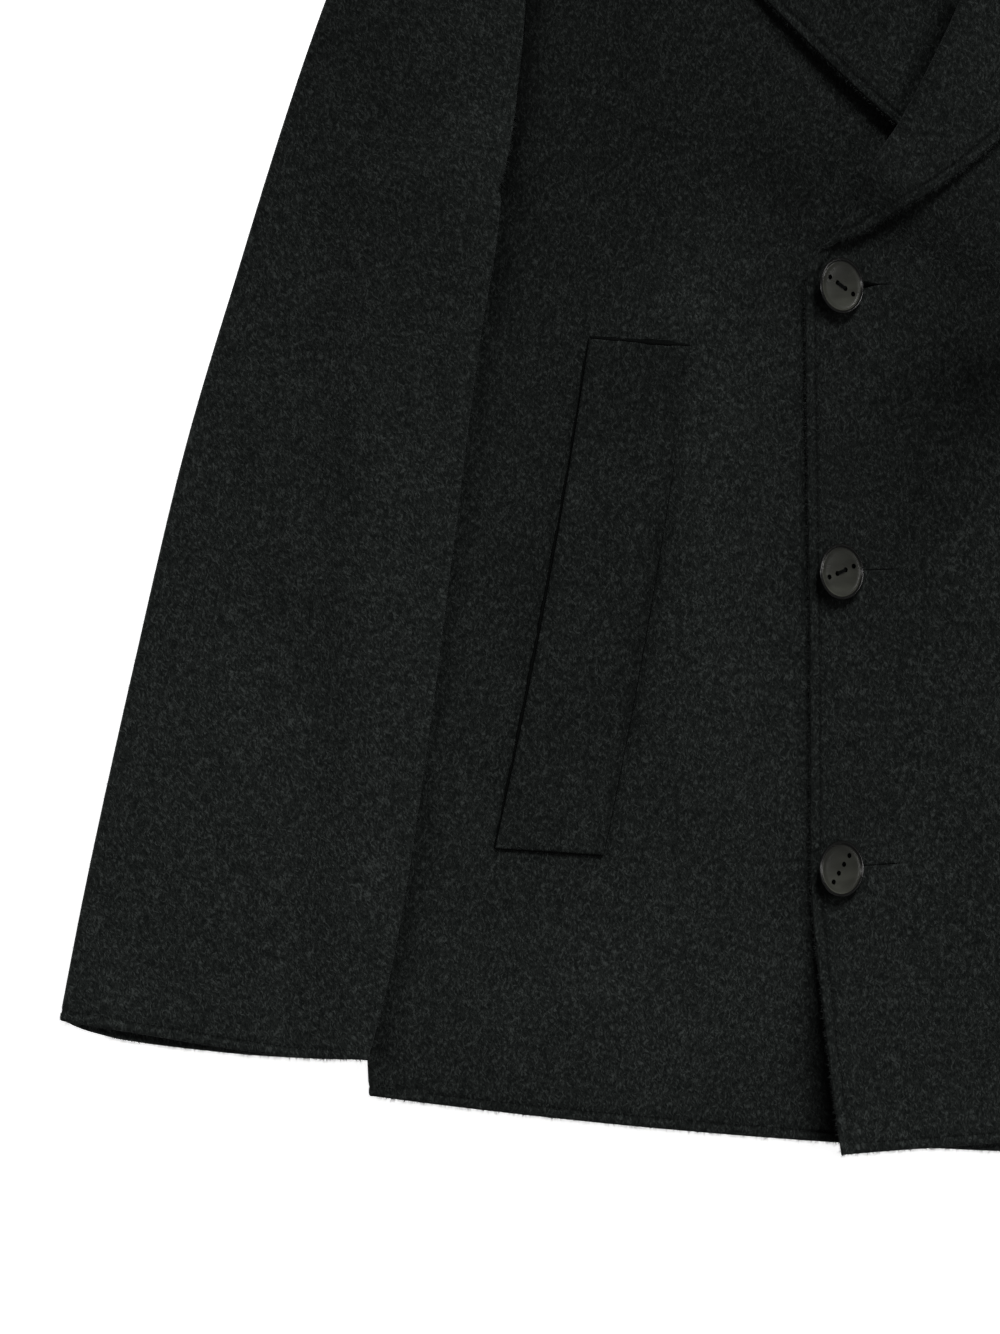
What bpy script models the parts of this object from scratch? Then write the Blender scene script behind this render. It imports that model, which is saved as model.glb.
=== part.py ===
"""A double-breasted pea coat, buttoned and laid flat on its back.

Each piece that is cut or sewn on is one object. A cloth piece is a grid of points in the middle of
the cloth, which a Solidify modifier gives its wall. Tables and named sizes are in millimetres: X
runs from the centre front to the wearer's left, Y from the hem to the collar, and Z up from the
surface that the coat lies on. Tables give one side, and the other side mirrors it.
"""

import bmesh
import bpy
import numpy as np
from mathutils import Matrix, Vector

MM = 0.001
ORIGIN_Y = 380.12  # the origin lies under the middle of the coat's length

WALL = 2.5  # thickness of the brushed wool
SEAM = 0.3  # gap between pieces that are sewn together
AIR = 0.4  # gap between layers that lie on each other
LAYER = WALL + AIR
FOLD = (LAYER + WALL) / 2  # from a fold's line to its outermost point
SIDE_TURN = 22.0  # how far a front goes round the side, to its seam on the back
SHOULDER_TURN = 10.0
SLEEVE_TURN = 20.0  # how far the top sleeve goes round each crease

CELL = 2.0  # of the grid that holds the heights of the layers
PLAN_LOW = np.array((-470.0, -20.0))
PLAN_CELLS = (471, 406)


def table(columns, *rows):
    """A short table, as one array for each named column."""
    return dict(zip(columns.split(), np.array(rows, float).T))


# A front, from hem to shoulder: its free edge, roll line and neckline, then its side and armhole.
# The last column is the number of rows of points up to the next section.
FRONT = table(
    "edge_x edge_y side_x side_y rows",
    (-57.5, -1.5, 291.0, 27.0, 2),  # hem
    (-66.0, 67.0, 290.0, 92.0, 2),
    (-72.5, 140.0, 289.0, 160.0, 2),
    (-73.0, 250.0, 287.0, 262.0, 2),
    (-74.5, 350.0, 284.0, 358.0, 2),
    (-75.2, 425.0, 280.5, 432.0, 1),
    (-74.0, 439.0, 279.0, 448.0, 1),
    (-68.5, 447.5, 277.5, 460.0, 1),  # break of the lapel
    (-61.0, 453.0, 276.0, 468.0, 2),  # underarm
    (-50.0, 475.0, 262.0, 469.5, 1),
    (-43.0, 492.0, 245.0, 473.0, 2),
    (-30.0, 511.5, 228.0, 483.0, 3),
    (-9.8, 550.0, 219.5, 520.0, 2),
    (2.0, 575.0, 216.0, 550.0, 4),
    (27.0, 623.0, 213.0, 600.0, 2),
    (40.0, 648.0, 214.5, 628.0, 2),
    (52.0, 672.0, 219.0, 655.0, 3),  # gorge, where the collar begins
    (79.6, 704.0, 229.0, 682.0, 3),
    (108.0, 736.0, 237.0, 698.0, 0),  # shoulder
)
BREAK, UNDERARM, CHEST, GORGE = 7, 8, 11, 16
OVERLAP_SHARE = 0.45  # of a front's width, where it laps over the other
OVERLAP_COLUMNS = {"left": 9, "right": 4}
ARMHOLE_STARTS = 480.0  # height from which the armhole gives a front its edge

# The lapel's outer edge, for the sections of the front from the break to the gorge, then the
# radius of its roll and the height of its edge above the front, for the upper and the lower one.
LAPEL = table(
    "edge_x edge_y roll_left lift_left roll_right lift_right",
    (-66.0, 446.0, 2.6, 3.6, 2.4, 3.4),
    (-57.0, 451.0, 2.8, 6.2, 2.4, 5.0),
    (-42.0, 461.0, 3.2, 8.4, 2.4, 5.4),
    (-26.5, 470.2, 3.4, 8.0, 2.2, 5.4),
    (-7.6, 481.5, 3.0, 7.0, 1.8, 6.0),
    (22.5, 505.5, 2.4, 5.8, 1.8, 8.4),
    (41.0, 521.5, 2.2, 5.2, 1.8, 8.8),
    (76.6, 555.2, 2.0, 4.6, 1.8, 7.4),
    (94.3, 573.5, 1.9, 4.2, 1.8, 6.0),
    (128.0, 618.0, 1.8, 3.6, 1.8, 3.6),  # tip
)
BREAK_GROWS = 18.0  # how far above its break the lapel has its whole width
ROLL_EASES = 12.0  # width of the lapel from which its roll is full

# The upper front's free edge curls up off the lower one near the hem.
CURL = 7.0
CURL_HEIGHT = 125.0  # how far up from the hem it goes
CURL_WIDTH = 42.0  # how far in from the edge

# The armhole: the front's edge and the back's, by height.
ARMHOLE = table(
    "y front_x back_x",
    (470.0, 231.0, 252.5),
    (500.0, 222.5, 240.0),
    (530.0, 218.5, 233.0),
    (565.0, 215.0, 229.0),
    (610.0, 213.0, 227.0),
    (655.0, 219.0, 229.0),
    (682.0, 229.0, 232.5),
    (698.0, 237.0, 235.0),
)

BACK = table(
    "centre_x centre_y neck_x neck_y side_x side_y rows",
    (0.0, 7.0, 100.0, 9.6, 266.0, 25.4, 2),  # hem
    (0.0, 120.0, 100.0, 121.0, 264.5, 128.0, 2),
    (0.0, 260.0, 100.0, 261.0, 261.8, 265.0, 2),
    (0.0, 400.0, 100.0, 401.0, 256.8, 402.0, 2),
    (0.0, 436.0, 100.0, 437.0, 254.6, 440.0, 2),
    (0.0, 462.0, 100.0, 463.0, 250.4, 469.0, 2),  # underarm
    (0.0, 495.0, 100.0, 497.0, 240.0, 500.0, 2),
    (0.0, 560.0, 100.0, 562.0, 229.0, 565.0, 2),
    (0.0, 606.0, 101.0, 609.0, 227.0, 610.0, 3),
    (0.0, 655.0, 102.0, 660.0, 229.0, 648.0, 4),
    (0.0, 716.0, 104.3, 722.8, 233.0, 684.8, 0),  # neck and shoulder
)

# A sleeve, from cuff to crown: its inner crease, which is the armhole above the armpit, then its
# outer crease.
SLEEVE = table(
    "inner_x inner_y outer_x outer_y rows",
    (293.2, 45.0, 447.7, 65.0, 2),  # cuff
    (280.5, 96.5, 435.5, 128.0, 2),
    (264.5, 196.5, 411.0, 240.0, 2),
    (250.5, 303.5, 384.5, 352.0, 2),
    (237.5, 403.5, 356.5, 446.0, 2),
    (229.5, 452.0, 341.5, 495.0, 2),
    (226.5, 478.0, 333.5, 520.0, 2),  # armpit
    (219.5, 520.0, 321.0, 557.0, 2),
    (215.0, 565.0, 307.0, 594.0, 2),
    (213.0, 610.0, 291.0, 628.0, 2),
    (219.0, 655.0, 268.0, 663.0, 2),
    (227.0, 679.0, 252.0, 681.0, 1),
    (231.0, 688.0, 244.0, 689.0, 0),  # crown
)
ARMPIT, CROWN = 6, 11
SLEEVE_LOFT = 1.2  # how much higher its middle is than its creases
TURN_SHARE = 0.3  # the most of its width that a turn may take, near the crown

# The collar, from its centre back to its tip: the neck seam, the fold at the top of the stand, and
# the fall, whose middle point is the notch at the tip's end. The fold lifts off the pile where it
# turns from back to front, and the roll is its radius over the front.
COLLAR = table(
    "seam_x seam_y fold_x fold_y mid_x mid_y edge_x edge_y lift roll rows",
    (0.0, 716.8, 0.0, 760.0, 0.0, 727.0, 0.0, 694.0, 0.0, 2.2, 3),  # centre back
    (60.0, 721.0, 50.0, 760.5, 58.0, 728.0, 66.0, 697.0, 0.2, 2.2, 2),
    (103.8, 724.4, 86.0, 759.5, 106.0, 736.0, 128.0, 712.0, 0.8, 2.2, 1),
    (107.2, 736.6, 97.0, 757.0, 126.0, 747.0, 152.0, 734.0, 1.2, 2.2, 2),  # side of the neck
    (95.0, 723.8, 84.0, 734.0, 117.0, 722.0, 148.0, 706.0, 0.8, 2.1, 2),
    (76.2, 706.0, 68.0, 703.0, 102.0, 693.0, 138.0, 689.0, 0.3, 1.9, 3),
    (54.0, 671.7, 51.4, 672.4, 90.0, 645.0, 118.0, 668.0, 0.0, 1.8, 0),  # gorge, notch and tip
)
NECK_SIDE = 3
NECK_OUT = (0.6, 0.8)  # unit vector out from the side of the neck
GORGE_GAP = 1.0  # between the collar and the lapel
NECK_EASE = 30.0  # distance over which the back comes down from the collar's fall
NECK_MARGIN = 4.0
FRONT_EASE = 16.0  # the same for what lies over a front's edge

HEM_SAG = {"left": -1.5, "right": -4.5}
CUFF_SAG = {"top": -1.4, "under": -5.6}
SAG_FADES = 110.0  # height over which the hem's and the cuff's sag dies out

# Corners of a pocket's welt, from its lower end to its upper end.
WELT = table(
    "outer_x outer_y inner_x inner_y rows",
    (230.0, 151.0, 176.0, 147.5, 9),
    (183.0, 405.5, 132.5, 401.5, 0),
)
WELT_BOW = -2.5  # both long edges bend towards the centre front
WELT_WALL = 2.0

BUTTON_COLUMN = 57.5  # from the centre front
BUTTON_ROWS = (431.5, 289.0, 141.0)
# Radius and height of a button's back, side, rim and dished face, from the middle round to it.
BUTTON_PROFILE = (
    (0.0, -2.2),
    (8.0, -2.2),
    (12.8, -0.8),
    (14.1, 1.0),
    (13.6, 1.9),
    (12.7, 1.8),
    (11.8, 1.0),
    (0.0, 0.8),
)
BUTTON_SEGMENTS = 20
BUTTON_OVAL = 0.8  # width of a button as a share of its height
HOLE_PITCH = 5.5
HOLE_RADIUS = 1.25
HOLE_SEGMENTS = 6
# Lean from the horizontal, direction that the face and the narrow way turn to, and direction of
# the row of holes from it, from the top button to the lowest.
BUTTONS = {
    "right": ((12.0, 7.0, -36.0), (9.0, 4.0, 16.0), (8.0, 0.0, 53.0)),
    "left": ((8.0, -6.0, 21.0), (6.0, 5.0, -30.0), (9.0, 3.0, 64.0)),
}

BUTTONHOLE_LENGTH = 28.0
BUTTONHOLE_WIDTH = 1.6
BUTTONHOLE_START = 3.0  # from the button's centre towards the front edge
CUTTER_DEPTH = 60.0  # more than the pile is high

WOOL = (0.011, 0.012, 0.012)
WOOL_ROUGHNESS = 0.95
HORN = (0.045, 0.036, 0.03)
HORN_ROUGHNESS = 0.28


# --- Curves and tables -----------------------------------------------------------------------


def between(knots, values, at):
    """Values between knots, on a smooth curve that never overshoots them."""
    values = values.reshape(len(knots), -1)
    step = np.diff(knots)[:, None]
    slope = np.diff(values, axis=0) / step
    before, after = slope[:-1], slope[1:]
    near, far = 2 * step[1:] + step[:-1], step[1:] + 2 * step[:-1]
    tangent = np.empty_like(values)
    tangent[0], tangent[-1] = slope[0], slope[-1]
    with np.errstate(divide="ignore", invalid="ignore"):
        mean = (near + far) / (near / before + far / after)
    tangent[1:-1] = np.where(before * after > 0, mean, 0.0)
    index = np.clip(np.searchsorted(knots, at, side="right") - 1, 0, len(step) - 1)
    width = step[index]
    t = (at[:, None] - knots[index, None]) / width
    return (
        values[index] * (2 * t**3 - 3 * t**2 + 1)
        + tangent[index] * width * (t**3 - 2 * t**2 + t)
        + values[index + 1] * (3 * t**2 - 2 * t**3)
        + tangent[index + 1] * width * (t**3 - t**2)
    )


class Sections:
    """A table's sections and the rows of points between them."""

    def __init__(self, source, *points):
        knots = np.stack([[source[p + "_x"], source[p + "_y"]] for p in points])
        knots = knots.transpose(2, 0, 1)
        walk = np.linalg.norm(np.diff(knots, axis=0), axis=2).mean(axis=1)
        self.walked = np.concatenate(([0.0], np.cumsum(walk)))
        counts = source["rows"].astype(int)
        self.first = np.concatenate(([0], np.cumsum(counts[:-1])))
        parts = [
            np.linspace(a, b, n, endpoint=False)
            for a, b, n in zip(self.walked, self.walked[1:], counts)
        ]
        self.at = np.append(np.concatenate(parts), self.walked[-1])
        lines = between(self.walked, knots, self.at).reshape(-1, len(points), 2)
        self.line = dict(zip(points, lines.transpose(1, 0, 2)))

    def along(self, values, start=0, stop=None):
        """A column of some sections, at the rows from the first of them to the last."""
        stop = len(self.first) if stop is None else stop
        rows = slice(self.first[start], self.first[stop - 1] + 1)
        return between(self.walked[start:stop], values, self.at[rows])


def across(*points_and_shares):
    """Rows of plan points that run straight from one line of points to the next."""
    first, *rest = points_and_shares
    columns = [first[:, None]]
    for line, shares in rest:
        start = columns[-1][:, -1:]
        shares = np.asarray(shares)[None, :, None]
        columns.append(start + (line[:, None] - start) * shares)
    return np.concatenate(columns, axis=1)


def shares(count):
    """Even shares of a span, without its start."""
    return np.arange(1, count + 1) / count


def outward(line, side):
    """Unit vectors in plan, square to a line of points: to its right for 1, its left for -1."""
    along = np.gradient(line[:, :2], axis=0)
    along /= np.linalg.norm(along, axis=1)[:, None]
    return side * np.stack((along[:, 1], -along[:, 0]), axis=1)


def turned(upper, lower, out, steps=4):
    """Columns of points that take cloth half round a fold, from one edge to the other."""
    middle, half = (upper + lower) / 2, (upper - lower) / 2
    radius = np.linalg.norm(half, axis=1)[:, None]
    out = np.pad(out, ((0, 0), (0, 1)))
    angles = np.linspace(0.0, np.pi, steps + 1)
    return np.stack([middle + half * np.cos(a) + out * radius * np.sin(a) for a in angles], axis=1)


def lifted(plan, height):
    """Points in plan, raised to a height each."""
    return np.concatenate((plan, np.broadcast_to(height, plan.shape[:-1])[..., None]), axis=-1)


def mirrored(grid):
    """The same grid on the wearer's other side."""
    return grid * np.array((-1.0, 1.0, 1.0))


# --- The pile of layers ----------------------------------------------------------------------


def windows(field, reach, pick):
    """A field's largest or mean value within a square of this half width."""
    cells = int(round(reach / CELL))
    for axis in (0, 1):
        room = [(cells, cells) if a == axis else (0, 0) for a in (0, 1)]
        spread = np.pad(field, room, mode="edge")
        field = pick(np.lib.stride_tricks.sliding_window_view(spread, 2 * cells + 1, axis), -1)
    return field


def finely(grid):
    """The same surface, with its points less than a cell apart."""
    for axis in (0, 1):
        longest = np.linalg.norm(np.diff(grid, axis=axis), axis=-1).max()
        count = grid.shape[axis] - 1
        at = np.linspace(0, count, count * int(np.ceil(longest / (0.7 * CELL))) + 1)
        low = np.minimum(at.astype(int), count - 1)
        share = (at - low).reshape((-1, 1, 1) if axis == 0 else (1, -1, 1))
        grid = grid.take(low, axis) * (1 - share) + grid.take(low + 1, axis) * share
    return grid


class Pile:
    """Layers of cloth on a floor, whose heights are those of a square grid's points."""

    def __init__(self, floor):
        self.floor = floor
        self.heights = np.zeros(PLAN_CELLS)  # above the floor

    def lay(self, *grids):
        """Lays cloth on the pile, so that what comes next lies over it."""
        for grid in grids:
            points = finely(grid).reshape(-1, 3)
            cells = tuple(np.round((points[:, :2] - PLAN_LOW) / CELL).astype(int).T)
            tops = points[:, 2] + WALL / 2 + AIR
            np.maximum.at(self.heights, cells, tops - self.floor[cells])
        return self

    def cover(self, ease, margin=8.0):
        """The heights of a cloth's underside, where it lies softly over the whole pile."""
        field = windows(self.heights, ease + margin, np.max)
        for _ in range(2):
            field = windows(field, ease / 2, np.mean)
        return self.floor + field


def read(field, plan):
    """A field's value at points in plan."""
    at = (plan - PLAN_LOW) / CELL
    low = at.astype(int)
    share = at - low
    x, y = low[..., 0], low[..., 1]
    sx, sy = share[..., 0], share[..., 1]
    near = field[x, y] * (1 - sx) + field[x + 1, y] * sx
    far = field[x, y + 1] * (1 - sx) + field[x + 1, y + 1] * sx
    return near * (1 - sy) + far * sy


# --- Objects ---------------------------------------------------------------------------------


def material(name, colour, roughness):
    """A finish that isn't a metal."""
    made = bpy.data.materials.new(name)
    made.use_nodes = True
    shader = made.node_tree.nodes["Principled BSDF"]
    shader.inputs["Base Color"].default_value = (*colour, 1.0)
    shader.inputs["Roughness"].default_value = roughness
    shader.inputs["Metallic"].default_value = 0.0
    return made


def placed(name, mesh, finish):
    """A new object with this mesh and a finish of its own."""
    piece = bpy.data.objects.new(name, mesh)
    bpy.context.collection.objects.link(piece)
    piece.data.materials.clear()
    piece.data.materials.append(finish)
    return piece


def cloth(name, grids, wall=WALL):
    """One cut piece: grids that share their edges, given a wall."""
    form = bmesh.new()
    for grid in grids:
        points = (grid - (0.0, ORIGIN_Y, 0.0)) * MM
        verts = [[form.verts.new(p) for p in row] for row in points]
        for one, two in zip(verts, verts[1:]):
            for a, b, c, d in zip(one, one[1:], two[1:], two):
                form.faces.new((a, b, c, d))
    bmesh.ops.remove_doubles(form, verts=form.verts, dist=1e-6)
    bmesh.ops.recalc_face_normals(form, faces=form.faces)
    mesh = bpy.data.meshes.new(name)
    form.to_mesh(mesh)
    form.free()
    mesh.shade_smooth()
    mesh.set_sharp_from_angle(angle=np.radians(50))
    piece = placed(name, mesh, material(name + "_wool", WOOL, WOOL_ROUGHNESS))
    solid = piece.modifiers.new("wall", "SOLIDIFY")
    solid.thickness = wall * MM
    solid.offset = 0.0
    return piece


# --- The cut pieces --------------------------------------------------------------------------


def collar_rows():
    """The collar's sections, and unit vectors out from its fold behind the neck and in front."""
    rows = Sections(COLLAR, "seam", "fold", "mid", "edge")
    crease = rows.first[NECK_SIDE]
    fold = rows.line["fold"]
    out = np.concatenate((outward(fold[:crease], -1), outward(fold[crease:], 1)))
    out[crease] += out[crease - 1]
    out[-1] = fold[-1] - rows.line["mid"][-1]
    out /= np.linalg.norm(out, axis=1)[:, None]
    fold -= out * FOLD
    off_lapel = GORGE_GAP * np.array((out[-1, 1], -out[-1, 0]))
    fold[-1] += off_lapel
    rows.line["mid"][-1] += off_lapel
    rows.line["seam"][-1] = fold[-1]
    return rows, out, crease


def fall_plan(line, start, stop):
    """The plan of some rows of the collar's fall."""
    fold, mid, edge = (line[p][start:stop] for p in ("fold", "mid", "edge"))
    return across(fold, (mid, shares(2)), (edge, shares(2)))


def fall_behind(line, crease):
    """The collar's fall behind the neck, which lies on the floor under the back."""
    return lifted(fall_plan(line, 0, crease + 1), WALL / 2)


def collar(base):
    """The collar, from the tip of one side round the neck to the tip of the other."""
    rows, out, crease = collar_rows()
    line = rows.line

    def leaf(part, height, lift, fall):
        """Some rows of the stand, at a height over the pile, and the fold that leads to a fall."""
        stand = across(line["seam"][part], (line["fold"][part], shares(2)))
        stand = lifted(stand, read(base, stand) + height + lift * (0.0, 0.5, 1.0))
        fold = turned(stand[:, -1], fall[:, 0], out[part])
        return np.concatenate((stand, fold[:, 1:-1], fall), axis=1)

    lift, roll = rows.along(COLLAR["lift"]), rows.along(COLLAR["roll"])
    behind = leaf(slice(0, crease + 1), WALL / 2, lift[: crease + 1], fall_behind(line, crease))
    lift, roll = 2 * lift[crease:], roll[crease:]
    fall = fall_plan(line, crease, len(out))
    fall = lifted(fall, read(base, fall) + WALL / 2 + LAYER + lift + 2 * roll)
    over = leaf(slice(crease, None), WALL / 2 + LAYER, lift, fall)
    bend = turned(over[0], behind[-1], np.broadcast_to(NECK_OUT, (behind.shape[1], 2)))
    bend = bend.transpose(1, 0, 2)[-2:0:-1]
    half = np.concatenate((behind, bend, over))
    return np.concatenate((mirrored(half)[:0:-1], half))


def back(base):
    """The back, flat on the floor but for its top, which lies on the collar's fall."""
    rows = Sections(BACK, "centre", "neck", "side")
    side = rows.line["side"]
    high = side[:, 1] > ARMHOLE["y"][0]
    side[high, 0] = between(ARMHOLE["y"], ARMHOLE["back_x"], side[high, 1])[:, 0]
    plan = across(rows.line["centre"], (rows.line["neck"], shares(3)), (side, shares(5)))
    half = lifted(plan, read(base, plan) + WALL / 2)
    return np.concatenate((mirrored(half)[:, :0:-1], half), axis=1)


def front_plan(side):
    """A front's rows and its plan as far as the roll line, with the lapel's width and roll."""
    rows = Sections(FRONT, "edge", "side")
    edge, seam = rows.line["edge"], rows.line["side"]
    low, underarm, gorge = (rows.first[section] for section in (BREAK, UNDERARM, GORGE))
    lapel = slice(low, gorge + 1)
    roll = rows.along(LAPEL["roll_" + side], BREAK, GORGE + 1)
    tip = rows.along(np.stack((LAPEL["edge_x"], LAPEL["edge_y"]), axis=1), BREAK, GORGE + 1)
    inward = outward(edge[lapel], 1)
    width = np.linalg.norm(tip - edge[lapel], axis=1)[:, None]
    fade = np.minimum(width / ROLL_EASES, 1.0)
    fade[0] = 0.0
    edge[lapel] += inward * (roll + WALL / 2) * fade
    neck = slice(gorge, rows.first[GORGE + 1] + 1)
    fade = np.linspace(1.0, 0.0, neck.stop - neck.start)[1:, None]
    edge[gorge + 1 : neck.stop] += inward[-1] * (roll[-1] + WALL / 2) * fade

    seam[: underarm + 1] -= outward(seam[: underarm + 1], 1) * FOLD
    high = seam[:, 1] > ARMHOLE_STARTS
    seam[high, 0] = between(ARMHOLE["y"], ARMHOLE["front_x"], seam[high, 1])[:, 0]
    shoulder = np.stack((edge[-1], seam[-1]))
    shoulder -= outward(shoulder, -1) * FOLD
    edge[-1], seam[-1] = shoulder

    near = edge + (seam - edge) * OVERLAP_SHARE
    plan = across(edge, (near, shares(OVERLAP_COLUMNS[side])), (seam, shares(5)))
    span = np.linalg.norm(plan - plan[:, :1], axis=2) / np.linalg.norm(seam - edge, axis=1)[:, None]
    drop = np.clip(1 - rows.at / SAG_FADES, 0, 1)[:, None] ** 2
    plan[..., 1] += HEM_SAG[side] * drop * 4 * span * (1 - span)
    return rows, plan, lapel, tip, roll


def front(side, level, base):
    """A front: its panel, its turns round the side and the shoulder, and its lapel."""
    rows, plan, lapel, tip, roll = front_plan(side)
    panel = lifted(plan, read(level, plan) + WALL / 2)
    if side == "left":
        inwards = np.linalg.norm(plan - plan[:, :1], axis=2)
        curl = np.clip(1 - rows.at / CURL_HEIGHT, 0, 1)[:, None]
        panel[..., 2] += CURL * curl * np.clip(1 - inwards / CURL_WIDTH, 0, 1) ** 2

    upper = panel[: rows.first[UNDERARM] + 1, -1]
    lower = lifted(upper[:, :2], read(base, upper[:, :2]) + WALL / 2)
    out = outward(upper, 1)
    strip = across(lower[:, :2], (lower[:, :2] - out * SIDE_TURN, shares(1)))
    strip = lifted(strip, read(base, strip) + WALL / 2)
    side_turn = np.concatenate((turned(upper, lower, out), strip[:, 1:]), axis=1)

    upper = panel[-1]
    lower = lifted(upper[:, :2], read(base, upper[:, :2]) + WALL / 2)
    out = outward(upper, -1)
    strip = lower[:, :2] - out * SHOULDER_TURN
    strip = lifted(strip[:, None], read(base, strip)[:, None] + WALL / 2)
    shoulder_turn = np.concatenate((turned(upper, lower, out), strip), axis=1)

    lift = rows.along(LAPEL["lift_" + side], BREAK, GORGE + 1)
    grown = np.clip((rows.at[lapel] - rows.at[lapel.start]) / BREAK_GROWS, 0, 1)[:, None]
    flap = lapel_grid(panel[lapel, 0], tip, roll, lift, grown, level)
    return {"panel": panel, "side": side_turn, "shoulder": shoulder_turn, "lapel": flap}


def lapel_grid(root, tip, roll, lift, grown, level):
    """A lapel, rolled over from its front: nothing wide at its break, and full above it."""
    gap = tip - root[:, :2]
    reach = np.linalg.norm(gap, axis=1)[:, None]
    gap = gap / reach
    gap[0] = gap[1]
    width = (reach + np.pi * roll) * grown
    bend = np.minimum(np.pi * roll, 0.7 * width)
    at = np.concatenate((bend * np.linspace(0, 1, 6), bend + (width - bend) * shares(5)), axis=1)
    angle = np.minimum(at / roll, np.pi)
    over = np.maximum(at - np.pi * roll, 0.0)
    plan = root[:, None, :2] + gap[:, None] * (over - roll * np.sin(angle))[..., None]
    rise = roll * (1 - np.cos(angle))
    far = over / np.maximum(width - np.pi * roll, 1e-6)
    rise += (lift - 2 * roll) * np.where(width > np.pi * roll, far**2 * (3 - 2 * far), 0.0)
    return lifted(plan, read(level, plan) + WALL / 2 + rise)


def sleeve(level):
    """A top sleeve's grids, and the under sleeve's, of the wearer's left side."""
    rows = Sections(SLEEVE, "inner", "outer")
    inner, outer = rows.line["inner"], rows.line["outer"]
    armpit, crown = rows.first[ARMPIT], rows.first[CROWN]
    inner[: armpit + 1] -= outward(inner[: armpit + 1], -1) * FOLD
    high = slice(armpit + 1, None)
    inner[high, 0] = between(ARMHOLE["y"], ARMHOLE["front_x"], inner[high, 1])[:, 0] + SEAM
    out = outward(outer, 1)
    outer -= out * FOLD
    span = outer - inner
    width = np.linalg.norm(span, axis=1)[:, None]
    turn = np.minimum(SLEEVE_TURN, TURN_SHARE * width) / width
    inner_seam, outer_seam = inner + span * turn, outer - span * turn
    fade = np.clip(1 - rows.at / SAG_FADES, 0, 1)[:, None] ** 2

    def laid(plan, sag, loft):
        """Points on the pile, with a cuff's sag, raised by a layer and some loft."""
        share = np.linalg.norm(plan - inner[: len(plan), None], axis=2) / width[: len(plan)]
        round_ = 4 * share * (1 - share)
        plan = plan.copy()
        plan[..., 1] += sag * fade[: len(plan)] * round_
        raised = 0.0 if loft is None else LAYER + loft * round_
        return lifted(plan, read(level, plan) + WALL / 2 + raised)

    top = across(inner, (inner_seam, shares(1)), (outer_seam, shares(6)), (outer, shares(1)))
    top = laid(top, CUFF_SAG["top"], SLEEVE_LOFT)
    low_inner = laid(across(inner, (inner_seam, shares(1))), CUFF_SAG["under"], None)
    low_outer = laid(across(outer, (outer_seam, shares(1))), CUFF_SAG["under"], None)
    below = slice(0, armpit + 1)
    inner_out = outward(inner[below], -1)
    inner_turn = turned(top[below, 0], low_inner[below, 0], inner_out)
    inner_turn = np.concatenate((inner_turn, low_inner[below, 1:]), axis=1)
    outer_turn = turned(top[:, -1], low_outer[:, 0], out)
    outer_turn = np.concatenate((outer_turn, low_outer[:, 1:]), axis=1)

    back_x = between(ARMHOLE["y"], ARMHOLE["back_x"], inner[high, 1])[:, 0] + SEAM
    start = inner_seam + span / width * SEAM
    start[high] = inner[high] + span[high] * ((back_x - inner[high, 0]) / span[high, 0])[:, None]
    stop = outer_seam - span / width * SEAM
    under = across(start[: crown + 1], (stop[: crown + 1], shares(6)))
    return [top, inner_turn, outer_turn], [laid(under, CUFF_SAG["under"], None)]


def welt(level):
    """A pocket's slanted welt, made from points of the front and raised off it."""
    rows = Sections(WELT, "outer", "inner")
    plan = across(rows.line["outer"], (rows.line["inner"], shares(4)))
    share = rows.at[:, None] / rows.at[-1]
    plan[..., 0] += WELT_BOW * 4 * share * (1 - share)
    return lifted(plan, read(level, plan) + WALL + SEAM + WELT_WALL / 2)


# --- Buttons and buttonholes -----------------------------------------------------------------


def turned_form(profile, segments):
    """A closed form turned about Z, from its profile's radius and height, lowest first."""
    form = bmesh.new()
    rings = []
    angles = np.arange(segments) * 2 * np.pi / segments
    circle = np.stack((np.cos(angles), np.sin(angles)), axis=1)
    for radius, height in profile:
        points = circle[: 1 if radius == 0.0 else None] * radius
        rings.append([form.verts.new((x * MM, y * MM, height * MM)) for x, y in points])
    for low, high in zip(rings, rings[1:]):
        for i in range(segments):
            j = (i + 1) % segments
            corners = (low[i % len(low)], low[j % len(low)], high[j % len(high)], high[i % len(high)])
            form.faces.new(list(dict.fromkeys(corners)))
    return form


def button_mesh():
    """A button: a domed back, a raised rim round a dished face, and four holes in a row."""
    form = turned_form(BUTTON_PROFILE, BUTTON_SEGMENTS)
    mesh = bpy.data.meshes.new("button")
    form.to_mesh(mesh)
    form.free()
    blank = bpy.data.objects.new("button_blank", mesh)
    bpy.context.collection.objects.link(blank)

    drills = bmesh.new()
    for step in (-1.5, -0.5, 0.5, 1.5):
        place = Matrix.Translation((step * HOLE_PITCH * MM, 0.0, 0.0))
        bmesh.ops.create_cone(
            drills,
            cap_ends=True,
            segments=HOLE_SEGMENTS,
            radius1=HOLE_RADIUS * MM,
            radius2=HOLE_RADIUS * MM,
            depth=CUTTER_DEPTH * MM,
            matrix=place,
        )
    drill_mesh = bpy.data.meshes.new("drills")
    drills.to_mesh(drill_mesh)
    drills.free()
    drill = bpy.data.objects.new("drills", drill_mesh)
    bpy.context.collection.objects.link(drill)
    cut = blank.modifiers.new("holes", "BOOLEAN")
    cut.object = drill
    cut.operation = "DIFFERENCE"
    graph = bpy.context.evaluated_depsgraph_get()
    drilled = bpy.data.meshes.new_from_object(blank.evaluated_get(graph))
    drilled.name = "button"
    bpy.data.objects.remove(blank)
    bpy.data.objects.remove(drill)
    drilled.shade_smooth()
    drilled.set_sharp_from_angle(angle=np.radians(40))
    return drilled


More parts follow.
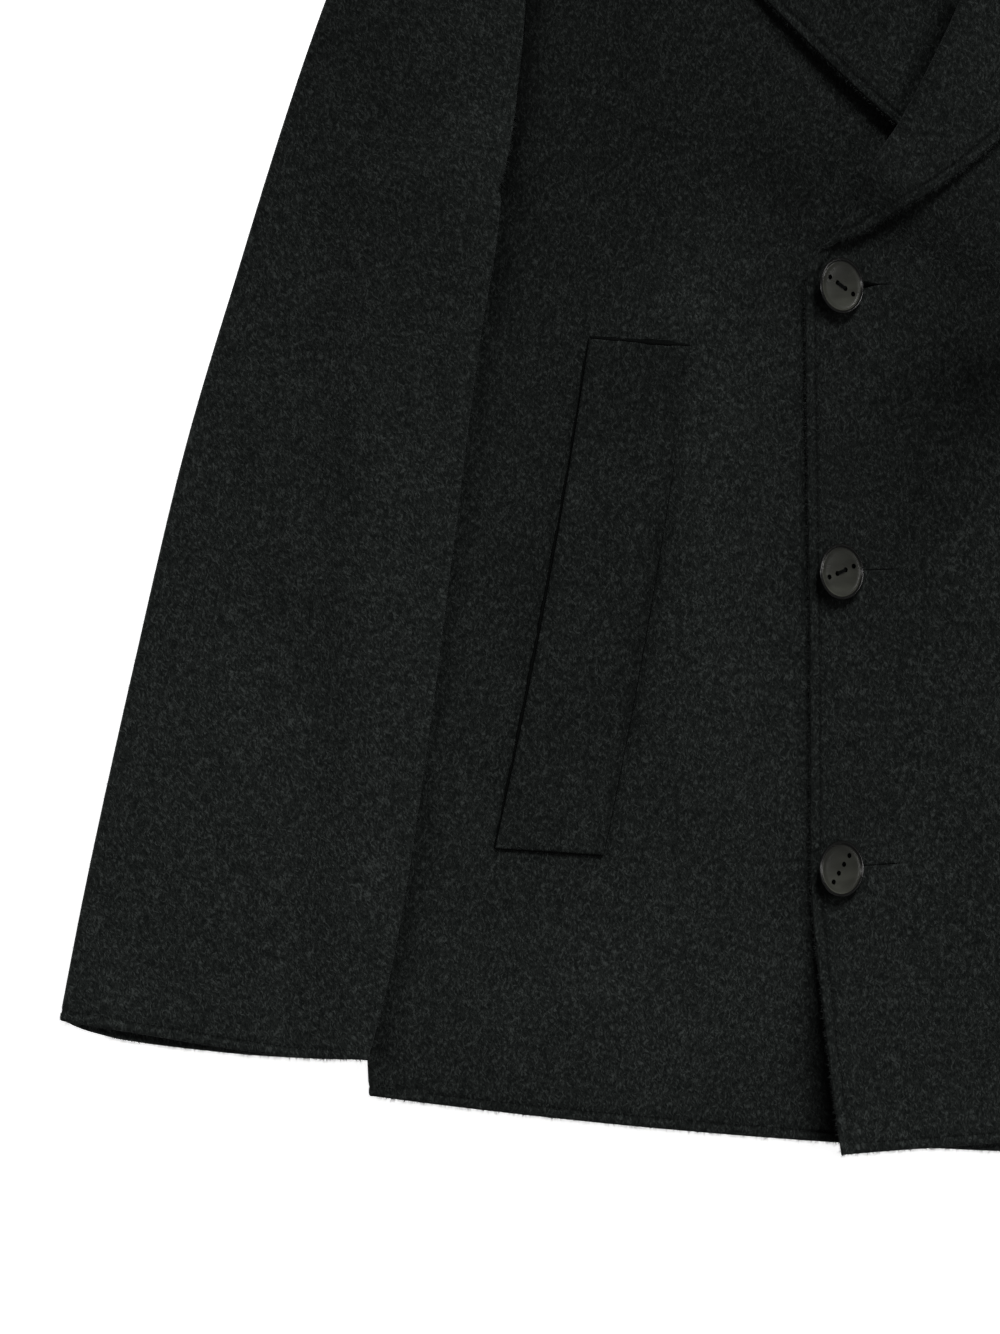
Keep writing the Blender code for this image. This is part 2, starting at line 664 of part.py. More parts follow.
def button(name, mesh, place, lean, facing, row, seat):
    """A button that leans as it hangs on its thread, with its lowest point on the cloth."""
    mesh = mesh.copy()
    mesh.transform(Matrix.Diagonal((BUTTON_OVAL, 1.0, 1.0, 1.0)) @ Matrix.Rotation(np.radians(row), 4, "Z"))
    away = Vector((np.cos(np.radians(facing)), np.sin(np.radians(facing)), 0.0))
    axis = Vector((0.0, 0.0, 1.0)).cross(away)
    turn = Matrix.Rotation(np.radians(lean), 4, axis) @ Matrix.Rotation(np.radians(facing), 4, "Z")
    lowest = min((turn @ v.co).z for v in mesh.vertices)
    piece = placed(name, mesh, material(name + "_horn", HORN, HORN_ROUGHNESS))
    x, y = place
    height = (seat + SEAM) * MM - lowest
    piece.matrix_world = Matrix.Translation((x * MM, (y - ORIGIN_Y) * MM, height)) @ turn
    return piece


def cut_buttonholes(piece):
    """The slits that the closing buttons pass through, from near the edge inwards."""
    form = bmesh.new()
    for y in BUTTON_ROWS:
        x = -BUTTON_COLUMN - BUTTONHOLE_START + BUTTONHOLE_LENGTH / 2
        place = Matrix.Translation((x * MM, (y - ORIGIN_Y) * MM, 0.0))
        size = np.array((BUTTONHOLE_LENGTH, BUTTONHOLE_WIDTH, CUTTER_DEPTH)) * MM
        size = Matrix.Diagonal((*size, 1.0))
        bmesh.ops.create_cube(form, size=1.0, matrix=place @ size)
    mesh = bpy.data.meshes.new("buttonhole_cutter")
    form.to_mesh(mesh)
    form.free()
    cutter = bpy.data.objects.new("buttonhole_cutter", mesh)
    cutter.hide_render = True
    cutter.display_type = "WIRE"
    bpy.context.collection.objects.link(cutter)
    cut = piece.modifiers.new("buttonholes", "BOOLEAN")
    cut.object = cutter
    cut.operation = "DIFFERENCE"


# --- The coat --------------------------------------------------------------------------------


def main():
    """Builds the coat, from the floor up."""
    for thing in list(bpy.data.objects):
        bpy.data.objects.remove(thing, do_unlink=True)

    table_top = np.zeros(PLAN_CELLS)
    rows, _, crease = collar_rows()
    fall = fall_behind(rows.line, crease)
    base = Pile(table_top).lay(fall, mirrored(fall)).cover(NECK_EASE, NECK_MARGIN)
    cloth("back", [back(base)])
    cloth("collar", [collar(base)])

    on_back = base + LAYER
    right = front("right", on_back, base)
    cloth("front_right", [mirrored(grid) for grid in right.values()])
    beneath = (mirrored(right["panel"]), mirrored(right["lapel"]))
    on_right = Pile(on_back).lay(*beneath).cover(FRONT_EASE)
    left = front("left", on_right, base)
    over = cloth("front_left", left.values())
    cut_buttonholes(over)

    body = right["panel"][: Sections(FRONT, "edge", "side").first[CHEST] + 1]
    top, under = sleeve(Pile(table_top).lay(body).cover(FRONT_EASE))
    pocket = {"left": welt(on_right), "right": welt(on_back)}
    for side, turn in (("left", np.copy), ("right", mirrored)):
        cloth("sleeve_top_" + side, [turn(grid) for grid in top])
        cloth("sleeve_under_" + side, [turn(grid) for grid in under])
        cloth("pocket_welt_" + side, [turn(pocket[side])], WELT_WALL)

    mesh = button_mesh()
    for side, sign in (("right", -1.0), ("left", 1.0)):
        for number, (y, pose) in enumerate(zip(BUTTON_ROWS, BUTTONS[side]), 1):
            place = (sign * BUTTON_COLUMN, y)
            seat = float(read(on_right, np.array(place))) + WALL
            button(f"button_{side}_{number}", mesh, place, *pose, seat)


main()
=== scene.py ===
"""A double-breasted pea coat, buttoned and laid flat on its back, finished for a close look.

Each cut piece is a fine grid of points in the middle of the cloth, which gets a wall with rounded
edges and a row of stitches. Tables and named sizes are in millimetres: X runs from the centre front
to the wearer's left, Y from the hem to the collar, and Z up from the surface that the coat lies on.
Tables give the wearer's left side, and the right side mirrors it.
"""

from __future__ import annotations

import logging
from dataclasses import dataclass, field, replace
from enum import Enum
from typing import Any, Callable, Sequence

import bmesh
import bpy
import numpy as np
from mathutils import Matrix, Vector
from mathutils.kdtree import KDTree
from numpy.typing import NDArray


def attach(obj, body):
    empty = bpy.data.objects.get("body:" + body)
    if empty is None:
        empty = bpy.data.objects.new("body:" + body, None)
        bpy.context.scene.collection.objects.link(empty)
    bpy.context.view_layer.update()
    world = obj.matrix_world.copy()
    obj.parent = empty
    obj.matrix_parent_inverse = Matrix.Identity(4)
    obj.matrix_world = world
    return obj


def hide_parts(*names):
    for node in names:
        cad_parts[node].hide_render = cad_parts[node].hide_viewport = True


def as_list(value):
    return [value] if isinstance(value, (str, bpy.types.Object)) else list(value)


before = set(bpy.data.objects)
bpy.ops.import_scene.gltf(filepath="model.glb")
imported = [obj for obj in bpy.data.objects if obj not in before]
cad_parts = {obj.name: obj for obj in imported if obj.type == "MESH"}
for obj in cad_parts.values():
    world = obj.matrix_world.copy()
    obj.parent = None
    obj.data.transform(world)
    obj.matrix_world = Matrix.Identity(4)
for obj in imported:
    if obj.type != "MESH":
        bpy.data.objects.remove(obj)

Array = NDArray[np.float64]
Socket = bpy.types.NodeSocket

LOG = logging.getLogger("pea_coat")

MM = 0.001
ORIGIN_Y = 380.12  # the origin lies under the middle of the coat's length

WALL = 2.5  # thickness of the brushed wool
SEAM = 0.3  # gap between pieces that are sewn together
AIR = 0.4  # gap between layers that lie on each other
LAYER = WALL + AIR
FOLD = (LAYER + WALL) / 2  # from a fold's line to its outermost point

CELL = 2.0  # of the grid that holds the heights of the layers
PLAN_LOW = np.array((-470.0, -20.0))
PLAN_CELLS = (471, 406)

PITCH = 4.0  # between rows and columns of points, away from an edge
EDGE_ROWS = np.array((0.0, 0.3, 0.8, 1.7, 3.0, 4.0, 5.0, 6.0, 7.5, 10.0))  # from an edge
STITCH_ROW = 6  # of those, the one under the stitches
SLIT_ROWS = np.array((-5.0, -3.0, -1.8, -1.1, -0.5, -0.05, 0.05, 0.5, 1.1, 1.8, 3.0, 5.0))  # from a slit
RIM_REACH = 1.7  # from a piece's edge, where its wall starts to round off
RIM_WALL = 0.16  # share of the wall that is left at the edge
SLIT_REACH, SLIT_WALL = 0.4, 0.8  # the same for a buttonhole
DENT, DENT_REACH = 0.34, 1.1  # share of the wall that stitches press away, and how far round them
SWELL, SWELL_AT, SWELL_REACH = 0.08, 2.6, 1.0  # share that it swells near the edge, where, how widely
SEAM_SINK = 0.05  # how far stitches sink into the dent
RIM_POINTS, RIM_STEP = 9, 0.6  # points on each rim edge, and steps along a stitched one
FAR_OFF = 100.0  # what counts as the distance to stitches where there are none
FOLD_STEPS = 10  # of a half turn


class Side(Enum):
    """The wearer's two sides."""

    LEFT = "left"
    RIGHT = "right"

    @property
    def sign(self) -> float:
        """1 on the left side, and -1 on the right one."""
        return 1.0 if self is Side.LEFT else -1.0

    def turn(self, grid: Array) -> Array:
        """A grid made for the left side, as it lies on this side."""
        return grid * np.array((self.sign, 1.0, 1.0))


class Hold(Enum):
    """How a cut piece is held."""

    LAID = "laid"
    FOLDED = "folded"


def table(columns: str, *rows: Sequence[float]) -> dict[str, Array]:
    """Makes a short table.

    Args:
        columns: The columns' names, with spaces between them.
        *rows: The table's rows.

    Returns:
        One array for each named column.
    """
    return dict(zip(columns.split(), np.array(rows, float).T))


# --- Curves and rows of points -----------------------------------------------------------------


def between(knots: Array, values: Array, at: Array) -> Array:
    """Reads a smooth curve that never overshoots its knots.

    Args:
        knots: The places of the knots.
        values: What the curve is worth at each knot.
        at: The places to read.

    Returns:
        One row of values for each place.
    """
    values = values.reshape(len(knots), -1)
    step = np.diff(knots)[:, None]
    slope = np.diff(values, axis=0) / step
    before, after = slope[:-1], slope[1:]
    near, far = 2 * step[1:] + step[:-1], step[1:] + 2 * step[:-1]
    tangent = np.empty_like(values)
    tangent[0], tangent[-1] = slope[0], slope[-1]
    with np.errstate(divide="ignore", invalid="ignore"):
        mean = (near + far) / (near / before + far / after)
    tangent[1:-1] = np.where(before * after > 0, mean, 0.0)
    index = np.clip(np.searchsorted(knots, at, side="right") - 1, 0, len(step) - 1)
    width = step[index]
    t = (at[:, None] - knots[index, None]) / width
    return (
        values[index] * (2 * t**3 - 3 * t**2 + 1)
        + tangent[index] * width * (t**3 - 2 * t**2 + t)
        + values[index + 1] * (3 * t**2 - 2 * t**3)
        + tangent[index + 1] * width * (t**3 - t**2)
    )


class Sections:
    """A table's sections, with rows of points between them that lie closer along an edge."""

    def __init__(
        self,
        source: dict[str, Array],
        points: Sequence[str],
        edges: Sequence[tuple[int, int]] = (),
        pitch: float = PITCH,
        slits: Sequence[float] = (),
    ) -> None:
        """Spaces the rows.

        Args:
            source: The table, with an x and a y column for each point.
            points: The names of the points of a section.
            edges: Sections that are an edge, and 1 or -1 for where the cloth goes on from it.
            pitch: Distance between rows, away from an edge.
            slits: Heights of slits that run along the rows from the first point.
        """
        knots = np.stack([[source[p + "_x"], source[p + "_y"]] for p in points])
        knots = knots.transpose(2, 0, 1)
        walk = np.linalg.norm(np.diff(knots, axis=0), axis=2).mean(axis=1)
        self.walked = np.concatenate(([0.0], np.cumsum(walk)))
        parts = [
            np.linspace(a, b, max(1, round((b - a) / pitch)), endpoint=False)
            for a, b in zip(self.walked, self.walked[1:])
        ]
        at = np.append(np.concatenate(parts), self.walked[-1])
        closer = [self.walked[section] + way * EDGE_ROWS for section, way in edges]
        heights = between(self.walked, knots[:, 0, 1], at)[:, 0]
        closer += [np.interp(slit, heights[:-1], at[:-1]) + SLIT_ROWS for slit in slits]
        for close in closer:
            off = (at < close.min() - pitch / 3) | (at > close.max() + pitch / 3)
            at = np.unique(np.concatenate((at[off | np.isin(at, self.walked)], close)))
        self.at = at
        self.first = np.searchsorted(at, self.walked)
        lines = between(self.walked, knots, at).reshape(-1, len(points), 2)
        self.line = dict(zip(points, lines.transpose(1, 0, 2).copy()))

    def along(self, values: Array, start: int = 0, stop: int | None = None) -> Array:
        """Spreads a column over the rows.

        Args:
            values: What the column is worth at the sections from start to stop.
            start: The first section.
            stop: The section after the last one.

        Returns:
            One value for each row from the first section to the last.
        """
        stop = len(self.first) if stop is None else stop
        rows = slice(self.first[start], self.first[stop - 1] + 1)
        return between(self.walked[start:stop], values, self.at[rows])


def spread(length: Array, near: bool = False, far: bool = False, pitch: float = PITCH) -> Array:
    """Spaces the columns of each row.

    Args:
        length: Each row's length.
        near: Whether the row starts at an edge, where columns lie closer.
        far: Whether it ends at an edge.
        pitch: Distance between columns in the longest row, away from an edge.

    Returns:
        Distances from each row's start, the same number for every row.
    """
    scale = np.clip(length / (3 * EDGE_ROWS[-1]), 0.02, 1.0)[:, None]
    length = length[:, None]
    start = EDGE_ROWS * scale if near else np.zeros_like(length)
    stop = length - EDGE_ROWS[::-1] * scale if far else length
    count = max(2, round(float((stop[:, 0] - start[:, -1]).max()) / pitch))
    share = np.linspace(0.0, 1.0, count + 1)[1:-1]
    middle = start[:, -1:] * (1 - share) + stop[:, :1] * share
    return np.concatenate((start, middle, stop), axis=1)


def ruled(start: Array, stop: Array, **spacing: Any) -> Array:
    """Rows of points that run straight from one line to another.

    Args:
        start: The line where rows start.
        stop: The line where they end.
        **spacing: What spread is given.

    Returns:
        A grid of points in plan.
    """
    span = stop - start
    length = np.linalg.norm(span, axis=1)
    share = spread(length, **spacing) / np.maximum(length, 1e-9)[:, None]
    return start[:, None] + span[:, None] * share[..., None]


def outward(line: Array, side: int) -> Array:
    """Unit vectors in plan, square to a line of points.

    Args:
        line: The points.
        side: 1 for the line's right, -1 for its left.

    Returns:
        One vector for each point.
    """
    along = unit(np.gradient(line[:, :2], axis=0))
    return side * np.stack((along[:, 1], -along[:, 0]), axis=1)


def turned(upper: Array, lower: Array, out: Array) -> Array:
    """Takes cloth half round a fold.

    Args:
        upper: The edge of the upper layer.
        lower: The edge of the lower layer.
        out: Unit vectors in plan, out from the fold.

    Returns:
        Columns of points from the one edge to the other.
    """
    middle, half = (upper + lower) / 2, (upper - lower) / 2
    radius = np.linalg.norm(half, axis=1)[:, None]
    out = np.pad(out, ((0, 0), (0, 1)))
    angles = np.linspace(0.0, np.pi, FOLD_STEPS + 1)
    return np.stack([middle + half * np.cos(a) + out * radius * np.sin(a) for a in angles], axis=1)


def folded(upper: Array, lower: Array, out: Array) -> Array:
    """A fold from the edge of an upper layer, and the lower layer that starts at the fold's end."""
    return np.concatenate((turned(upper, lower[:, 0], out), lower[:, 1:]), axis=1)


def unit(vectors: Array) -> Array:
    """The same vectors, with a length of 1."""
    return vectors / np.linalg.norm(vectors, axis=1)[:, None]


def lifted(plan: Array, height: Array | float) -> Array:
    """Points in plan, raised to a height each."""
    return np.concatenate((plan, np.broadcast_to(height, plan.shape[:-1])[..., None]), axis=-1)


def fading(distance: Array, over: float) -> Array:
    """A smooth share that is 1 at no distance, and 0 from this distance on."""
    share = np.clip(1 - distance / over, 0.0, 1.0)
    return share * share * (3 - 2 * share)


# --- The pile of layers ------------------------------------------------------------------------


def windows(height: Array, reach: float, pick: Callable[..., Array]) -> Array:
    """A field's largest or mean value round each point.

    Args:
        height: The field.
        reach: Half the width of the square that is looked at.
        pick: What is taken of the square, np.max or np.mean.

    Returns:
        The new field.
    """
    cells = int(round(reach / CELL))
    for axis in (0, 1):
        room = [(cells, cells) if a == axis else (0, 0) for a in (0, 1)]
        padded = np.pad(height, room, mode="edge")
        height = pick(np.lib.stride_tricks.sliding_window_view(padded, 2 * cells + 1, axis), -1)
    return height


def finely(grid: Array) -> Array:
    """The same surface, with its points less than a cell apart."""
    for axis in (0, 1):
        longest = np.linalg.norm(np.diff(grid, axis=axis), axis=-1).max()
        count = grid.shape[axis] - 1
        at = np.linspace(0, count, count * int(np.ceil(longest / (0.7 * CELL))) + 1)
        low = np.minimum(at.astype(int), count - 1)
        share = (at - low).reshape((-1, 1, 1) if axis == 0 else (1, -1, 1))
        grid = grid.take(low, axis) * (1 - share) + grid.take(low + 1, axis) * share
    return grid


class Pile:
    """Layers of cloth on a floor, whose heights are those of a square grid's points."""

    def __init__(self, floor: Array) -> None:
        """Starts a pile on this floor."""
        self.floor = floor
        self.heights = np.zeros(PLAN_CELLS)  # above the floor

    def lay(self, *grids: Array) -> Pile:
        """Lays cloth on the pile, so that what comes next lies over it.

        Args:
            *grids: Grids in the middle of the cloth.

        Returns:
            The pile itself.
        """
        for grid in grids:
            points = finely(grid).reshape(-1, 3)
            cells = tuple(np.round((points[:, :2] - PLAN_LOW) / CELL).astype(int).T)
            tops = points[:, 2] + WALL / 2 + AIR
            np.maximum.at(self.heights, cells, tops - self.floor[cells])
        return self

    def cover(self, ease: float, margin: float = 8.0) -> Array:
        """Lays a soft cloth over the whole pile.

        Args:
            ease: The distance over which the cloth comes down from a step.
            margin: How far it stays up beyond the step.

        Returns:
            The heights of its underside.
        """
        height = windows(self.heights, ease + margin, np.max)
        for _ in range(2):
            height = windows(height, ease / 2, np.mean)
        return self.floor + height


def read(height: Array, plan: Array) -> Array:
    """Reads a field of heights.

    Args:
        height: The field.
        plan: Points in plan.

    Returns:
        The height at each point.
    """
    at = (plan[..., :2] - PLAN_LOW) / CELL
    low = at.astype(int)
    share = at - low
    x, y = low[..., 0], low[..., 1]
    sx, sy = share[..., 0], share[..., 1]
    near = height[x, y] * (1 - sx) + height[x + 1, y] * sx
    far = height[x, y + 1] * (1 - sx) + height[x + 1, y + 1] * sx
    return near * (1 - sy) + far * sy


@dataclass(frozen=True)
class Swells:
    """Soft ridges of cloth that doesn't lie quite flat, each along a line, with its width and height."""

    lines: dict[str, Array]
    ends: float = 0.45  # height of a ridge's ends, as a share of its middle's

    def raise_field(self) -> Array:
        """Adds the ridges up.

        Returns:
            A field of heights above the lowest place.
        """
        axes = [PLAN_LOW[i] + CELL * np.arange(PLAN_CELLS[i]) for i in (0, 1)]
        spot = np.stack(np.meshgrid(*axes, indexing="ij"), axis=-1)
        total = np.zeros(PLAN_CELLS)
        for x0, y0, x1, y1, width, height in zip(*self.lines.values()):
            start, span = np.array((x0, y0)), np.array((x1 - x0, y1 - y0))
            share = np.clip((spot - start) @ span / (span @ span), 0.0, 1.0)
            gap = np.linalg.norm(spot - start - share[..., None] * span, axis=-1)
            ridge = self.ends + (1 - self.ends) * np.sin(np.pi * share)
            total += height * ridge * np.exp(-((gap / width) ** 2))
        return total


# --- Shader nodes ------------------------------------------------------------------------------


class Graph:
    """Adds nodes to a tree."""

    def __init__(self, tree: bpy.types.NodeTree) -> None:
        """Takes the tree that gets the nodes."""
        self.tree = tree

    def add(self, kind: str, inputs: dict[Any, Any] | None = None, **settings: Any) -> Any:
        """Adds a node.

        Args:
            kind: The node's type.
            inputs: A value or a linked socket for each input, by name or number.
            **settings: The node's own settings.

        Returns:
            The node.
        """
        node = self.tree.nodes.new(kind)
        for name, value in settings.items():
            setattr(node, name, value)
        self.feed(node, inputs or {})
        return node

    def feed(self, node: Any, inputs: dict[Any, Any]) -> None:
        """Sets or links some inputs of a node.

        Args:
            node: The node.
            inputs: A value or a linked socket for each input, by name or number.
        """
        for key, value in inputs.items():
            if isinstance(value, Socket):
                self.tree.links.new(value, node.inputs[key])
            else:
                node.inputs[key].default_value = value

    def placed(self, tree: bpy.types.NodeTree, inputs: dict[str, Any]) -> Any:
        """A node group in this tree, with these inputs."""
        return self.add("ShaderNodeGroup", inputs, node_tree=tree)

    def attribute(self, name: str, output: str = "Fac") -> Socket:
        """A value or a vector that the mesh holds."""
        return self.add("ShaderNodeAttribute", attribute_name=name).outputs[output]

    def math(self, operation: str, first: Any, second: Any = 0.0) -> Socket:
        """One sum of two numbers or sockets."""
        return self.add("ShaderNodeMath", {0: first, 1: second}, operation=operation).outputs[0]

    def vector(self, operation: str, first: Any, second: Any) -> Socket:
        """One sum of two vectors or sockets."""
        node = self.add("ShaderNodeVectorMath", {0: first, 1: second}, operation=operation)
        return node.outputs[0]

    def mask(self, value: Socket, low: float | Socket, high: float | Socket) -> Socket:
        """A smooth step of a value, from 0 at low to 1 at high."""
        inputs = {"Value": value, "From Min": low, "From Max": high}
        node = self.add("ShaderNodeMapRange", inputs, interpolation_type="SMOOTHSTEP")
        return node.outputs["Result"]

    def blend(self, factor: Any, first: Any, second: Any) -> Socket:
        """A mix of two colours."""
        return self.add("ShaderNodeMix", {0: factor, 6: first, 7: second}, data_type="RGBA").outputs[2]

    def scaled(self, colour: Socket, gain: Socket) -> Socket:
        """A colour made lighter or darker."""
        node = self.add("ShaderNodeVectorMath", {0: colour, "Scale": gain}, operation="SCALE")
        return node.outputs[0]

    def noise(self, at: Socket, scale: float | Socket, detail: float = 2.0, rough: float = 0.5) -> Socket:
        """Soft noise, about 0.5 on average."""
        inputs = {"Vector": at, "Scale": scale, "Detail": detail, "Roughness": rough}
        return self.add("ShaderNodeTexNoise", inputs).outputs["Fac"]

    def bump(self, height: Socket, strength: float, distance: float) -> Socket:
        """A normal with relief."""
        inputs = {"Height": height, "Strength": strength, "Distance": distance}
        return self.add("ShaderNodeBump", inputs).outputs[0]


def group(name: str, inputs: dict[str, tuple[str, Any]], outputs: dict[str, str]) -> tuple[Graph, Any, Any]:
    """Starts a shader node group.

    Args:
        name: The group's name.
        inputs: The type and usual value of each input.
        outputs: The type of each output.

    Returns:
        Its graph, the node with its inputs and the node that takes its outputs.
    """
    tree = bpy.data.node_groups.new(name, "ShaderNodeTree")
    for label, (kind, value) in inputs.items():
        socket = tree.interface.new_socket(label, in_out="INPUT", socket_type="NodeSocket" + kind)
        if value is not None:
            socket.default_value = value
    for label, kind in outputs.items():
        tree.interface.new_socket(label, in_out="OUTPUT", socket_type="NodeSocket" + kind)
    graph = Graph(tree)
    return graph, graph.add("NodeGroupInput"), graph.add("NodeGroupOutput")


def fleck_group() -> bpy.types.NodeTree:
    """Makes the group of heather flecks: short fibres of a lighter and a darker wool, along the grain.

    Returns:
        The node group.
    """
    graph, given, out = group(
        "heather_flecks",
        {
            "Grain": ("Vector", None),
            "Width": ("Float", 0.0009),
            "Length": ("Float", 0.002),
            "Lean": ("Float", 0.0),
        },
        {"Light": "Float", "Dark": "Float", "Relief": "Float"},
    )
    turned_grain = graph.add(
        "ShaderNodeVectorRotate",
        {"Vector": given.outputs["Grain"], "Angle": given.outputs["Lean"]},
        rotation_type="Z_AXIS",
    ).outputs[0]
    bend = graph.add("ShaderNodeTexNoise", {"Vector": turned_grain, "Scale": 330.0, "Detail": 1.0})
    bend = graph.vector("SUBTRACT", bend.outputs["Color"], (0.5, 0.5, 0.5))
    bend = graph.vector("MULTIPLY", bend, (0.0036, 0.0016, 0.0))
    strand = graph.vector("ADD", turned_grain, bend)
    size = graph.add(
        "ShaderNodeCombineXYZ",
        {"X": given.outputs["Width"], "Y": given.outputs["Length"], "Z": given.outputs["Width"]},
    ).outputs[0]
    strand = graph.vector("DIVIDE", strand, size)
    fibres = graph.noise(strand, 1.0, 1.5, 0.5)
    clump = graph.noise(turned_grain, 260.0, 2.0)
    crowd = graph.math("MULTIPLY", graph.math("SUBTRACT", clump, 0.5), 0.33)
    fibres = graph.math("ADD", fibres, crowd)
    light, dark = graph.mask(fibres, 0.53, 0.78), graph.mask(fibres, 0.48, 0.30)
    graph.feed(out, {"Light": light, "Dark": dark, "Relief": fibres})
    return graph.tree


def nap_group() -> bpy.types.NodeTree:
    """Makes the group of the brushed nap: its tangled relief, and clouds where it lies another way.

    Returns:
        The node group.
    """
    graph, given, out = group(
        "brushed_nap",
        {"Grain": ("Vector", None), "Tangle": ("Float", 950.0), "Cloud": ("Float", 22.0)},
        {"Relief": "Float", "Cloud": "Float"},
    )
    tangle = graph.noise(given.outputs["Grain"], given.outputs["Tangle"], 3.0, 0.65)
    cloud = graph.noise(given.outputs["Grain"], given.outputs["Cloud"], 3.0, 0.6)
    graph.feed(out, {"Relief": tangle, "Cloud": graph.mask(cloud, 0.3, 0.7)})
    return graph.tree


def edge_group() -> bpy.types.NodeTree:
    """Makes the group of edge wear and seam shade: a mask along a piece's edges for wear, and one along its
    stitches for painted shade.

    Returns:
        The node group.
    """
    graph, given, out = group(
        "edge_wear_and_seam_shade",
        {"Distance": ("Float", 0.1), "Reach": ("Float", 0.002), "Stitches": ("Float", 0.005)},
        {"Edge": "Float", "Stitched": "Float"},
    )
    near = graph.math("DIVIDE", given.outputs["Distance"], given.outputs["Reach"])
    off = graph.math("SUBTRACT", given.outputs["Distance"], given.outputs["Stitches"])
    stitched = graph.mask(graph.math("ABSOLUTE", off), 0.0016, 0.0002)
    graph.feed(out, {"Edge": graph.mask(near, 1.0, 0.0), "Stitched": stitched})
    return graph.tree


# --- Finishes ----------------------------------------------------------------------------------


def new_material(name: str) -> tuple[bpy.types.Material, Graph, Any]:
    """Starts a material.

    Args:
        name: Its name.

    Returns:
        The material, its graph and its shader.
    """
    made = bpy.data.materials.new(name)
    made.use_nodes = True
    return made, Graph(made.node_tree), made.node_tree.nodes["Principled BSDF"]


@dataclass(frozen=True)
class Wool:
    """Thick brushed wool in charcoal heather, with a short nap."""

    name: str
    groups: dict[str, bpy.types.NodeTree]
    ground: tuple[float, float, float] = (0.0096, 0.0111, 0.0104)
    light: tuple[float, float, float] = (0.0385, 0.0435, 0.0415)
    dark: tuple[float, float, float] = (0.0047, 0.0057, 0.0054)
    # Lean from the grain in radians, width and length of the two sorts of fleck, in metres.
    flecks: tuple[tuple[float, float, float], ...] = ((0.30, 0.00078, 0.0026), (-0.42, 0.00086, 0.0022))
    fleck_share: float = 0.72  # of the light wool's colour in a fleck
    clouds: float = 0.14  # how much lighter or darker the nap's clouds are
    worn: float = 0.25  # how much lighter the cloth is at a stitched edge
    seam_shade: float = -0.35  # and along the stitches, painted shade in their dent
    relief: float = 0.5  # share of the relief that each sort of fleck and the nap's tangle give

    def make(self) -> bpy.types.Material:
        """Builds the material.

        Returns:
            The material.
        """
        made, graph, shader = new_material(self.name)
        grain, border = graph.attribute("grain", "Vector"), graph.attribute("border")
        sizes = [dict(zip(("Lean", "Width", "Length"), fleck)) for fleck in self.flecks]
        flecks = [graph.placed(self.groups["fleck"], {"Grain": grain} | size) for size in sizes]
        nap = graph.placed(self.groups["nap"], {"Grain": grain})
        edge = graph.placed(self.groups["edge"], {"Distance": border})
        light = graph.math("MAXIMUM", flecks[0].outputs["Light"], flecks[1].outputs["Light"])
        dark = graph.math("MAXIMUM", flecks[0].outputs["Dark"], flecks[1].outputs["Dark"])
        colour = graph.blend(dark, (*self.ground, 1.0), (*self.dark, 1.0))
        colour = graph.blend(graph.math("MULTIPLY", light, self.fleck_share), colour, (*self.light, 1.0))
        cloud = graph.math("MULTIPLY", graph.math("SUBTRACT", nap.outputs["Cloud"], 0.5), self.clouds)
        # The lie adds the nap's patches, painted shade and painted light.
        cloud = graph.math("ADD", cloud, graph.attribute("lie"))
        worn = graph.math("MULTIPLY", edge.outputs["Edge"], self.worn)
        # Painted shade along the stitches, darker in their dent.
        seam_shade = graph.math("MULTIPLY", edge.outputs["Stitched"], self.seam_shade)
        gain = graph.math("ADD", graph.math("ADD", cloud, worn), graph.math("ADD", seam_shade, 1.0))
        reliefs = [graph.math("MULTIPLY", node.outputs["Relief"], self.relief) for node in (*flecks, nap)]
        relief = graph.math("ADD", graph.math("ADD", reliefs[0], reliefs[1]), reliefs[2])
        inputs = {
            "Base Color": graph.scaled(colour, gain),
            "Roughness": graph.math("ADD", graph.math("MULTIPLY", nap.outputs["Relief"], 0.1), 0.86),
            "Normal": graph.bump(relief, 0.75, 0.0009),
            "Specular IOR Level": 0.08,
            "Sheen Weight": 0.03,
            "Sheen Roughness": 0.45,
            "Sheen Tint": (0.75, 0.8, 0.8, 1.0),
        }
        graph.feed(shader, inputs)
        return made


